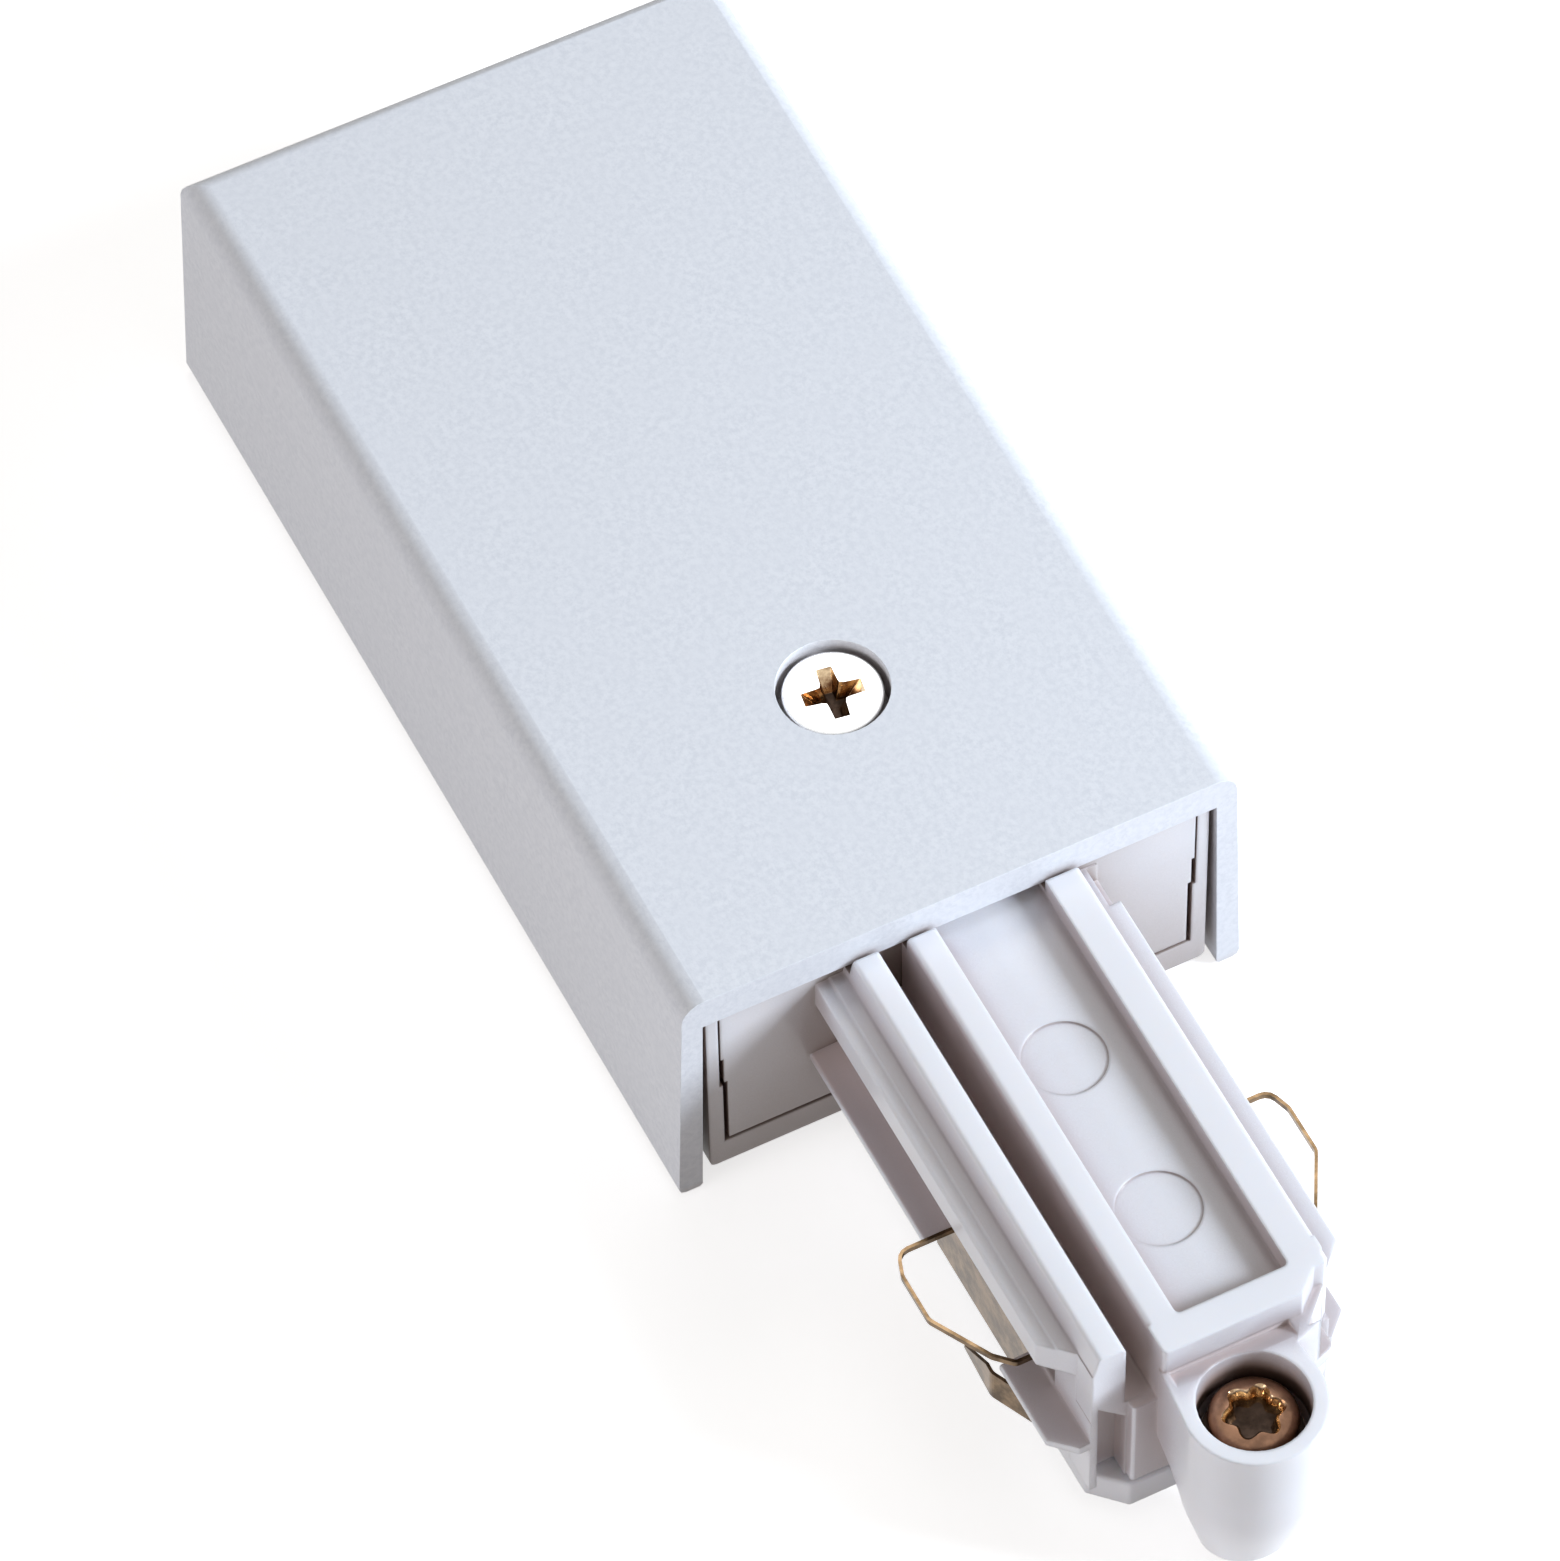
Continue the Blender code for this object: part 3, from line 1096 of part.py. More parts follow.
def make_terminals(parent, block_surface, screw_surface):
    """Three blocks with a wire bore from behind and a clamp screw from above."""
    low = TERMINAL_LOW
    high = TERMINAL_HIGH
    top = TERMINAL_SCREW_TOP
    rear = TERMINAL_X - TERMINAL_LENGTH / 2
    for name, y in cell_centres():
        outline = box_outline(
            rear, rear + TERMINAL_LENGTH, y - TERMINAL_WIDTH / 2, y + TERMINAL_WIDTH / 2, 0.3 * MM
        )
        block = add_object(f"{name}_terminal", prism_mesh(outline, low, high), parent, block_surface)
        bore = circle_outline(y, WIRE_Z, WIRE_BORE, FINE_STEPS)
        bore_end = rear + TERMINAL_LENGTH - 1.0 * MM
        cut(block, "wire_bore", prism_mesh(bore, rear - OVERRUN, bore_end, "X"))
        spot = (TERMINAL_X, y)
        hole = TERMINAL_SCREW_RADIUS + 0.2 * MM
        cut(block, "screw_hole", cylinder_mesh(spot, hole, WIRE_Z, high + OVERRUN, FINE_STEPS))
        shank = top - TERMINAL_HEAD_THICKNESS - (WIRE_Z + WIRE_BORE * 0.2)
        body = screw_mesh(
            spot,
            top,
            TERMINAL_HEAD_RADIUS,
            TERMINAL_HEAD_THICKNESS,
            TERMINAL_SCREW_RADIUS,
            shank,
            0.2 * MM,
        )
        screw = add_object(f"{name}_terminal_screw", body, parent, screw_surface, (*spot, top))
        slot = box_outline(
            TERMINAL_X - OVERRUN, TERMINAL_X + OVERRUN, y - 0.25 * MM, y + 0.25 * MM
        )
        cut(screw, "slot", prism_mesh(slot, top - 0.6 * MM, top + OVERRUN))


def make_clamp(parent, bar_surface, screw_surface):
    """An arched bar that two screws pull down on the cable's sheath."""
    reach = CLAMP_SPAN + CLAMP_POST_RADIUS
    inner = CLAMP_SPAN - CLAMP_POST_RADIUS - 0.6 * MM
    low = CLAMP_BOTTOM
    high = CLAMP_TOP
    top = CLAMP_SCREW_TOP
    outline = rounded([
        (-reach, low, 0.3 * MM),
        (-inner, low, 0.5 * MM),
        (-inner + CLAMP_ARCH, low - CLAMP_ARCH, 0.4 * MM),
        (inner - CLAMP_ARCH, low - CLAMP_ARCH, 0.4 * MM),
        (inner, low, 0.5 * MM),
        (reach, low, 0.3 * MM),
        (reach, high, 0.5 * MM),
        (-reach, high, 0.5 * MM),
    ])
    x_low = CLAMP_X - CLAMP_WIDTH / 2
    bar = prism_mesh(outline, x_low, x_low + CLAMP_WIDTH, "X")
    clamp = add_object("cable_clamp", bar, parent, bar_surface, (CLAMP_X, 0.0, CLAMP_BOTTOM))
    hole = CLAMP_SCREW_RADIUS + BORE_FIT
    for side, sign in (("left", -1), ("right", 1)):
        spot = (CLAMP_X, sign * CLAMP_SPAN)
        bore = cylinder_mesh(spot, hole, low - OVERRUN, high + OVERRUN, FINE_STEPS)
        cut(clamp, f"hole_{side}", bore)
        length = high + SEAT_GAP - FLOOR_TOP - 1.0 * MM
        body = screw_mesh(
            spot, top, CLAMP_HEAD_RADIUS, CLAMP_HEAD_THICKNESS, CLAMP_SCREW_RADIUS, length, 0.5 * MM
        )
        screw = add_object(f"clamp_screw_{side}", body, parent, screw_surface, (*spot, top))
        cross = cross_outline(*spot, CLAMP_HEAD_RADIUS * 0.6, CLAMP_HEAD_RADIUS * 0.32, 0.4)
        cut(screw, "cross", prism_mesh(cross, top - CLAMP_HEAD_THICKNESS * 0.7, top + OVERRUN))


def make_lock(parent, screw_surface, insert_surface):
    """The lock screw in the boss, and the threaded insert that takes it."""
    spot = (BOSS_X, 0.0)
    top = BOSS_TOP - LOCK_HEAD_DEPTH
    under = top - LOCK_HEAD_THICKNESS
    flange_top = under - LOCK_TRAVEL
    flange_low = flange_top - INSERT_FLANGE
    sleeve_low = flange_low - INSERT_LENGTH + SEAT_GAP
    bore = LOCK_SCREW_RADIUS + INSERT_FIT
    flange_radius = BOSS_BORE - BORE_FIT
    sleeve = turned_mesh(
        [
            (0.0, flange_top),
            (flange_radius, flange_top),
            (flange_radius, flange_low),
            (INSERT_RADIUS, flange_low),
            (INSERT_RADIUS, sleeve_low),
            (0.0, sleeve_low),
        ],
        spot,
    )
    insert = add_object("lock_insert", sleeve, parent, insert_surface)
    thread = cylinder_mesh(spot, bore, sleeve_low - OVERRUN, flange_top + OVERRUN, FINE_STEPS)
    cut(insert, "thread_bore", thread)
    length = under - BOSS_BOTTOM - 0.5 * MM
    body = screw_mesh(
        spot, top, LOCK_HEAD_RADIUS, LOCK_HEAD_THICKNESS, LOCK_SCREW_RADIUS, length, 0.45 * MM
    )
    screw = add_object("lock_screw", body, parent, screw_surface, (*spot, top))
    cross = cross_outline(*spot, LOCK_HEAD_RADIUS * 0.68, LOCK_HEAD_RADIUS * 0.42, math.radians(20))
    cut(screw, "cross", prism_mesh(cross, top - LOCK_HEAD_THICKNESS * 0.75, top + OVERRUN))


def build():
    clear_scene()
    textured_white = material("textured white plastic", (0.80, 0.82, 0.85), 0.55)
    smooth_white = material("smooth white plastic", (0.82, 0.83, 0.86), 0.35)
    zinc = material("zinc plated steel", (0.85, 0.85, 0.84), 0.25, 1.0)
    brass = material("brass", (0.72, 0.55, 0.30), 0.3, 1.0)
    spring_bronze = material("spring bronze", (0.62, 0.48, 0.30), 0.2, 1.0)

    feed = bpy.data.objects.new("feed", None)
    bpy.context.scene.collection.objects.link(feed)
    feed.location = (CENTRE_SHIFT, 0.0, 0.0)

    make_cover(feed, textured_white)
    make_cover_screw(feed, zinc)
    make_base(feed, smooth_white)
    make_housing(feed, smooth_white)
    make_bottom_cover(feed, smooth_white)
    line_contact("live_contact", -1, feed, spring_bronze)
    line_contact("neutral_contact", 1, feed, spring_bronze)
    earth_contact("earth_contact", -1, feed, spring_bronze)
    make_bars(feed, brass)
    make_terminals(feed, brass, zinc)
    make_clamp(feed, smooth_white, zinc)
    make_lock(feed, spring_bronze, brass)


build()
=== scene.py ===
import json
import math

import bmesh
import bpy
from mathutils import Matrix, Vector

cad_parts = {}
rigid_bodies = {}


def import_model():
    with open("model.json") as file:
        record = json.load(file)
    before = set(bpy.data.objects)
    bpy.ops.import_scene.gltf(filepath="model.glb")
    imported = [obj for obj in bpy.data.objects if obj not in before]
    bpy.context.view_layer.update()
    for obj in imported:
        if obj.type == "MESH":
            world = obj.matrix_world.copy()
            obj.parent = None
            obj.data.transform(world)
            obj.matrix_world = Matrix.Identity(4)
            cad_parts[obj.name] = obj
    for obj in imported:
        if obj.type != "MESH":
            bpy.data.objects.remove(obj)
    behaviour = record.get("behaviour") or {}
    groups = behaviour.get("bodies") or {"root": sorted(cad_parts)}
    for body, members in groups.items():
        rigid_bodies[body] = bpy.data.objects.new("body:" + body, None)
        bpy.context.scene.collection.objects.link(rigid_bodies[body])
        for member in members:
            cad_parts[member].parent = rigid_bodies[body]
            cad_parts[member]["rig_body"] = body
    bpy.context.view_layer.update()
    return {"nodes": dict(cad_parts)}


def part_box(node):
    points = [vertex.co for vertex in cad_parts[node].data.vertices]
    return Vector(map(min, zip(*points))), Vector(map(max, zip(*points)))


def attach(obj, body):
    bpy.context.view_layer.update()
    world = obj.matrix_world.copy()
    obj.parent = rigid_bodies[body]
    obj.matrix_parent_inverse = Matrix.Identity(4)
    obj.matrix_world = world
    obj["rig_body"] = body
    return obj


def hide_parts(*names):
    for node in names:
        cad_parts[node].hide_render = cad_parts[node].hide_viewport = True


# The looks of a live-end feed for a one-circuit surface track: white mouldings,
# zinc and bronze screws, spring contacts and brass bars.  Lengths are in metres.
MM = 0.001

# The camera, fitted to the cover's edges: place and axes in the part's frame.
CAMERA_PLACE = (295.24 * MM, -145.78 * MM, 480.42 * MM)
CAMERA_RIGHT = (0.4505, 0.8927, -0.0144)
CAMERA_FORWARD = (-0.5183, 0.2483, -0.8183)
CAMERA_LENS = 232.32
CAMERA_SENSOR = 36.0
CAMERA_NEAR = 0.01
CAMERA_FAR = 10.0

# The lamps: place, side, power and colour.  They all point at the part's middle.
LAMP_TARGET = (0.0, 0.0, 0.01)
LAMPS = {
    "key": ((0.33, 0.47, 0.33), 0.22, 4.75, (0.91, 1.0, 1.12)),
    "left": ((0.10, -0.66, 0.16), 0.4, 1.6, (0.98, 0.98, 1.04)),
    "front": ((0.45, -0.48, 0.08), 0.3, 0.2, (1.0, 0.96, 0.94)),
    "glint": ((-0.36, 0.17, 0.57), 0.24, 0.42, (1.0, 1.0, 1.0)),
}
WORLD_COLOUR = (1.0, 0.92, 0.82)
WORLD_STRENGTH = 0.20

# The floor: its size and place, the colour that it throws back on the part, and the
# colour and glow with which it shows white round the part's soft shadow.
FLOOR_SIZE = 3.0
FLOOR_DROP = 0.2 * MM
FLOOR_BOUNCE = (0.50, 0.46, 0.44)
FLOOR_PALE = (0.8, 0.8, 0.8)
FLOOR_GLOW = 0.70
WHITE = (1.0, 1.0, 1.0)

# The cover's grain, from dark to light, and the even colour that evens it out.
GRAIN_TINTS = ((0.38, (0.755, 0.785, 0.84)), (0.60, (0.90, 0.925, 0.97)))
GRAIN_CLOUD = (0.835, 0.86, 0.91)
GRAIN_DEPTH = 0.05 * MM

# The smooth mouldings' and the nickel head's own shades, and their fine relief.
SMOOTH_TINTS = ((0.35, (0.84, 0.85, 0.89)), (0.65, (0.88, 0.885, 0.93)))
SMOOTH_DEPTH = 0.03 * MM
NICKEL_TINTS = ((0.35, (0.90, 0.90, 0.89)), (0.65, (0.96, 0.96, 0.96)))
METAL_DEPTH = 0.02 * MM

# Where a metal's noise turns from its dark to its light colour.
PATCH_DARK = 0.38
PATCH_LIGHT = 0.62

# Metals: name, light and dark colour, roughness, and the reach of the painted shade that blackens a
# recess.
METALS = {
    "zinc": ("zinc plate", (0.93, 0.93, 0.92), (0.80, 0.80, 0.79), 0.3, 0.0),
    "brass": ("brass", (0.78, 0.60, 0.32), (0.60, 0.43, 0.20), 0.32, 0.0),
    "spring": ("spring bronze", (0.24, 0.16, 0.09), (0.09, 0.058, 0.03), 0.16, 0.0),
    "bronzed": ("bronzed screw", (0.33, 0.18, 0.11), (0.20, 0.11, 0.07), 0.3, 0.0),
    # The dull metal is the lock insert's own colour, and also the near-black painted shade on the
    # floors of the worn screw recesses.
    "dull": ("dull insert and painted recess shade", (0.06, 0.04, 0.03), (0.03, 0.02, 0.015), 0.4, 0.0),
    "recess": ("worn recess with painted shade", (0.86, 0.66, 0.42), (0.26, 0.14, 0.07), 0.13, 0.9 * MM),
}

# How far the painted shade of a recess reaches over the mouldings around it, and the finer painted
# shade of a crease along its own edges.
TONGUE_SHADE = 6.0 * MM
BASE_SHADE = 14.0 * MM
COVER_CREASE_SHADE = 1.3 * MM
BASE_CREASE_SHADE = 1.0 * MM

# How far light spreads under the smooth mouldings' surface.
LIGHT_SPREAD = 1.0 * MM

# Edge rounding that the smooth mouldings' surfaces show.
SOFT_EDGE = 0.28 * MM

# Painted shade: how much light a recess keeps in the colour, from deep inside to open.
TONGUE_STOPS = (
    (0.0, (0.80, 0.68, 0.62)),
    (0.3, (0.80, 0.70, 0.66)),
    (0.55, (0.60, 0.53, 0.51)),
    (0.72, (0.68, 0.63, 0.63)),
    (0.84, (0.94, 0.93, 0.94)),
    (0.93, (1.0, 1.0, 1.0)),
)
BASE_STOPS = (
    (0.0, (0.30, 0.22, 0.18)),
    (0.5, (0.60, 0.54, 0.50)),
    (0.8, (0.92, 0.905, 0.89)),
    (1.0, (1.0, 1.0, 1.0)),
)
CREASE_SHADE_STOPS = (
    (0.0, (0.42, 0.33, 0.28)),
    (0.55, (0.86, 0.82, 0.80)),
    (0.85, (1.0, 1.0, 1.0)),
)
BORE_STOPS = (
    (0.0, (1.0, 1.0, 1.0)),
    (0.08, (0.14, 0.09, 0.07)),
    (0.4, (0.42, 0.31, 0.25)),
    (0.56, (0.80, 0.68, 0.60)),
    (0.72, (0.97, 0.93, 0.90)),
    (0.9, (1.0, 1.0, 1.0)),
)
METAL_STOPS = (
    (0.1, (0.05, 0.035, 0.025)),
    (0.35, (0.36, 0.28, 0.22)),
    (0.6, (1.0, 1.0, 1.0)),
)

# The lock screw's bore in the tongue's tip: axis, reach and the heights between which its painted shade
# darkens.
BORE_PLACE = (48.45 * MM, 0.0, 0.0)
BORE_REACH = 3.35 * MM
BORE_DARK = 11.2 * MM
BORE_LIGHT = 14.25 * MM

# The tongue's flange ends here, and shares the base's painted shade inside the cover's mouth.
FLANGE_END = 13.9 * MM

# The mouldings' copies: points and faces that count as one, and their rounded edges.
MERGE_REACH = 0.002 * MM
FLAT_ANGLE = math.radians(0.6)
SHELL_ANGLE = math.radians(32.0)
SHELL_SEGMENTS = 2
SHELL_EDGES = {
    "cover": 0.12 * MM,
    "base_plate": 0.12 * MM,
    "adapter_housing": 0.12 * MM,
    "adapter_bottom": 0.15 * MM,
}

# The screws: faces round a head, its rounded edges, and how far a recess's tip lies
# below its floor, as a share of its depth.
SCREW_STEPS = 64
SCREW_ANGLE = math.radians(34)
SCREW_EDGE = 0.05 * MM
SCREW_SEGMENTS = 2
RECESS_TIP = 1.12

# A screw recess's sloped mouth takes in its whole outline over this depth.
LEAD_REACH = 1.6 * MM

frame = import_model()


# Materials


def new_material(name, colour, roughness, metallic=0.0):
    made = bpy.data.materials.new(name)
    made.use_nodes = True
    nodes = made.node_tree.nodes
    shader = nodes["Principled BSDF"]
    shader.inputs["Base Color"].default_value = (*colour, 1.0)
    shader.inputs["Roughness"].default_value = roughness
    shader.inputs["Metallic"].default_value = metallic
    return made, nodes, made.node_tree.links, shader


def noise(nodes, links, scale, detail=3.0, roughness=0.55, stretch=None):
    """Noise in object space, so that it stays put on the part."""
    coordinates = nodes.new("ShaderNodeTexCoord")
    made = nodes.new("ShaderNodeTexNoise")
    made.inputs["Scale"].default_value = scale
    made.inputs["Detail"].default_value = detail
    made.inputs["Roughness"].default_value = roughness
    if stretch is None:
        links.new(coordinates.outputs["Object"], made.inputs["Vector"])
    else:
        mapping = nodes.new("ShaderNodeMapping")
        mapping.inputs["Scale"].default_value = stretch
        links.new(coordinates.outputs["Object"], mapping.inputs["Vector"])
        links.new(mapping.outputs["Vector"], made.inputs["Vector"])
    return made


def ramp(nodes, links, source, stops):
    made = nodes.new("ShaderNodeValToRGB")
    band = made.color_ramp
    while len(band.elements) < len(stops):
        band.elements.new(0.5)
    for element, (place, colour) in zip(band.elements, stops):
        element.position = place
        element.color = (*colour, 1.0)
    links.new(source, made.inputs["Fac"])
    return made


def mix_colours(nodes, links, factor, first, second):
    """Mixes an output socket's colour with a plain one, by a factor socket."""
    made = nodes.new("ShaderNodeMix")
    made.data_type = "RGBA"
    links.new(factor, made.inputs["Factor"])
    links.new(first, made.inputs["A"])
    made.inputs["B"].default_value = (*second, 1.0)
    return made.outputs["Result"]


def bump(nodes, links, shader, height, strength, distance, edge_radius=0.0):
    """Fine relief from a height, over edges that look rounded by the radius."""
    made = nodes.new("ShaderNodeBump")
    made.inputs["Strength"].default_value = strength
    made.inputs["Distance"].default_value = distance
    links.new(height, made.inputs["Height"])
    if edge_radius > 0.0:
        soft = nodes.new("ShaderNodeBevel")
        soft.samples = 6
        soft.inputs["Radius"].default_value = edge_radius
        links.new(soft.outputs["Normal"], made.inputs["Normal"])
    links.new(made.outputs["Normal"], shader.inputs["Normal"])


def shaded_by(nodes, links, colour, amount, stops):
    """A colour times the ramp's colour at the amount."""
    shade = ramp(nodes, links, amount, stops)
    made = nodes.new("ShaderNodeMix")
    made.data_type = "RGBA"
    made.blend_type = "MULTIPLY"
    made.inputs["Factor"].default_value = 1.0
    links.new(colour, made.inputs["A"])
    links.new(shade.outputs["Color"], made.inputs["B"])
    return made.outputs["Result"]


def paint_recess_shade(nodes, links, colour, distance, stops, local=False):
    """Paints shade into a colour: darker in deep recesses, as ambient occlusion finds them."""
    hidden = nodes.new("ShaderNodeAmbientOcclusion")
    hidden.samples = 8
    hidden.only_local = local
    hidden.inputs["Distance"].default_value = distance
    return shaded_by(nodes, links, colour, hidden.outputs["AO"], stops)


def paint_bore_shade(nodes, links, colour):
    """Paints shade on the wall of the lock screw's bore, browner and darker towards its floor."""
    coordinates = nodes.new("ShaderNodeTexCoord")
    apart = nodes.new("ShaderNodeVectorMath")
    apart.operation = "SUBTRACT"
    apart.inputs[1].default_value = BORE_PLACE
    links.new(coordinates.outputs["Object"], apart.inputs[0])
    flat = nodes.new("ShaderNodeVectorMath")
    flat.operation = "MULTIPLY"
    flat.inputs[1].default_value = (1.0, 1.0, 0.0)
    links.new(apart.outputs["Vector"], flat.inputs[0])
    reach = nodes.new("ShaderNodeVectorMath")
    reach.operation = "LENGTH"
    links.new(flat.outputs["Vector"], reach.inputs[0])
    outside = nodes.new("ShaderNodeMath")
    outside.operation = "GREATER_THAN"
    outside.inputs[1].default_value = BORE_REACH
    links.new(reach.outputs["Value"], outside.inputs[0])
    heights = nodes.new("ShaderNodeSeparateXYZ")
    links.new(apart.outputs["Vector"], heights.inputs["Vector"])
    rise = nodes.new("ShaderNodeMapRange")
    rise.inputs["From Min"].default_value = BORE_DARK
    rise.inputs["From Max"].default_value = BORE_LIGHT
    links.new(heights.outputs["Z"], rise.inputs["Value"])
    most = nodes.new("ShaderNodeMath")
    most.operation = "MAXIMUM"
    links.new(outside.outputs["Value"], most.inputs[0])
    links.new(rise.outputs["Result"], most.inputs[1])
    return shaded_by(nodes, links, colour, most.outputs["Value"], BORE_STOPS)


def textured_white():
    """The cover: spark-eroded matt white, with a fine even grain, and painted shade in its creases and
    recesses.
    """
    made, nodes, links, shader = new_material("textured white", (0.80, 0.81, 0.83), 0.46)
    grain = noise(nodes, links, 2300.0, 4.0, 0.72)
    cloud = noise(nodes, links, 420.0, 3.0, 0.5)
    fine = ramp(nodes, links, grain.outputs["Fac"], GRAIN_TINTS)
    colour = mix_colours(nodes, links, cloud.outputs["Fac"], fine.outputs["Color"], GRAIN_CLOUD)
    # Painted shade: ambient occlusion darkens and warms the colour in creases and recesses.
    shaded = paint_recess_shade(nodes, links, colour, COVER_CREASE_SHADE, CREASE_SHADE_STOPS)
    links.new(shaded, shader.inputs["Base Color"])
    bump(nodes, links, shader, grain.outputs["Fac"], 0.3, GRAIN_DEPTH)
    shader.inputs["Specular IOR Level"].default_value = 0.4
    return made


def smooth_white(name, stops, tongue):
    """The base, tongue and clamp: smooth semi-gloss white, with painted shade, darker and warmer, in
    its recesses.
    """
    made, nodes, links, shader = new_material(name, (0.83, 0.83, 0.85), 0.3)
    flow = noise(nodes, links, 90.0, 3.0, 0.5, (0.35, 1.0, 1.0))
    fine = noise(nodes, links, 2400.0, 2.0, 0.5)
    tint = ramp(nodes, links, flow.outputs["Fac"], SMOOTH_TINTS)
    reach = TONGUE_SHADE if tongue else BASE_SHADE
    # Painted shade: ambient occlusion darkens and warms the colour in recesses.
    colour = paint_recess_shade(nodes, links, tint.outputs["Color"], reach, stops, tongue)
    if tongue:
        # The tongue also gets painted shade down the lock screw's bore.
        colour = paint_bore_shade(nodes, links, colour)
    else:
        # The base also gets finer painted shade along its creases.
        colour = paint_recess_shade(nodes, links, colour, BASE_CREASE_SHADE, CREASE_SHADE_STOPS)
    links.new(colour, shader.inputs["Base Color"])
    shader.inputs["Subsurface Weight"].default_value = 0.35
    shader.inputs["Subsurface Radius"].default_value = (1.0, 0.85, 0.75)
    shader.inputs["Subsurface Scale"].default_value = LIGHT_SPREAD
    bump(nodes, links, shader, fine.outputs["Fac"], 0.12, SMOOTH_DEPTH, SOFT_EDGE)
    return made


def plated(name, light, dark, roughness, depth):
    """Plated or bare metal with fine drawn marks and darker patches, and painted shade that blackens
    its recesses.
    """
    made, nodes, links, shader = new_material(name, light, roughness, 1.0)
    patch = noise(nodes, links, 900.0, 4.0, 0.6)
    marks = noise(nodes, links, 4200.0, 2.0, 0.6, (1.0, 1.0, 0.2))
    tint = ramp(nodes, links, patch.outputs["Fac"], ((PATCH_DARK, dark), (PATCH_LIGHT, light)))
    colour = tint.outputs["Color"]
    if depth > 0.0:
        # Painted shade: ambient occlusion blackens the colour down the recess.
        colour = paint_recess_shade(nodes, links, colour, depth, METAL_STOPS)
    links.new(colour, shader.inputs["Base Color"])
    bump(nodes, links, shader, marks.outputs["Fac"], 0.15, METAL_DEPTH)
    return made


def white_nickel():
    """The cover screw's head: bright white plating, nearly as light as paint."""
    made, nodes, links, shader = new_material("white nickel", (0.95, 0.95, 0.94), 0.22, 0.9)
    marks = noise(nodes, links, 2600.0, 3.0, 0.6)
    tint = ramp(nodes, links, marks.outputs["Fac"], NICKEL_TINTS)
    links.new(tint.outputs["Color"], shader.inputs["Base Color"])
    bump(nodes, links, shader, marks.outputs["Fac"], 0.1, METAL_DEPTH)
    return made


def build_materials():
    materials = {
        "textured": textured_white(),
        "smooth": smooth_white("smooth white", BASE_STOPS, False),
        "tongue": smooth_white("tongue white", TONGUE_STOPS, True),
        "nickel": white_nickel(),
    }
    for key, metal in METALS.items():
        materials[key] = plated(*metal)
    return materials


FINISH = {
    "cover": "textured",
    "cover_screw": "nickel",
    "adapter_housing": "tongue",
    "adapter_bottom": "tongue",
    "lock_screw": "bronzed",
    "lock_insert": "dull",
    "live_contact": "spring",
    "neutral_contact": "spring",
    "earth_contact": "spring",
    "clamp_screw_left": "zinc",
    "clamp_screw_right": "zinc",
}


def finish_of(node):
    if node in FINISH:
        return FINISH[node]
    if node.endswith("_terminal_screw"):
        return "zinc"
    if node.endswith("_bar") or node.endswith("_terminal"):
        return "brass"
    return "smooth"


# Pieces


def refined(node, materials, width):
    """A copy of a moulded node with its sharp edges softly rounded."""
    source = frame["nodes"][node]
    bm = bmesh.new()
    bm.from_mesh(source.data)
    bmesh.ops.remove_doubles(bm, verts=bm.verts, dist=MERGE_REACH)
    bmesh.ops.dissolve_limit(
        bm, angle_limit=FLAT_ANGLE, verts=bm.verts, edges=bm.edges, use_dissolve_boundaries=False
    )
    mesh = bpy.data.meshes.new(f"{node}_shell")
    bm.to_mesh(mesh)
    bm.free()
    mesh.shade_smooth()
    mesh.set_sharp_from_angle(angle=SHELL_ANGLE)
    made = bpy.data.objects.new(f"{node}_shell", mesh)
    bpy.context.scene.collection.objects.link(made)
    mesh.materials.clear()
    mesh.materials.append(materials[finish_of(node)])
    # The flange takes the base's material, whose painted shade darkens it inside the cover's mouth.
    if node == "adapter_housing":
        mesh.materials.append(materials["smooth"])
        for face in mesh.polygons:
            face.material_index = int(face.center.x < FLANGE_END)
    edge = made.modifiers.new("edge", "BEVEL")
    edge.width = width
    edge.segments = SHELL_SEGMENTS
    edge.limit_method = "ANGLE"
    edge.angle_limit = SHELL_ANGLE
    edge.use_clamp_overlap = True
    even = made.modifiers.new("even", "WEIGHTED_NORMAL")
    even.weight = 100
    even.keep_sharp = True
    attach(made, source["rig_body"])
    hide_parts(node)


def lathe(profile, centre, steps=SCREW_STEPS):
    """A closed turned mesh from (radius, z) points that start and end on the axis."""
    bm = bmesh.new()
    rings = []
    for radius, z in profile:
        if radius == 0.0:
            rings.append([bm.verts.new((centre[0], centre[1], z))])
            continue
        angles = (2 * math.pi * i / steps for i in range(steps))
        rings.append([
            bm.verts.new((centre[0] + radius * math.cos(a), centre[1] + radius * math.sin(a), z))
            for a in angles
        ])
    for upper, lower in zip(rings, rings[1:]):
        for i in range(steps):
            j = (i + 1) % steps
            above = [upper[i % len(upper)], upper[j % len(upper)]]
            below = [lower[j % len(lower)], lower[i % len(lower)]]
            bm.faces.new(list(dict.fromkeys(above + below)))
    bmesh.ops.recalc_face_normals(bm, faces=bm.faces)
    return bm


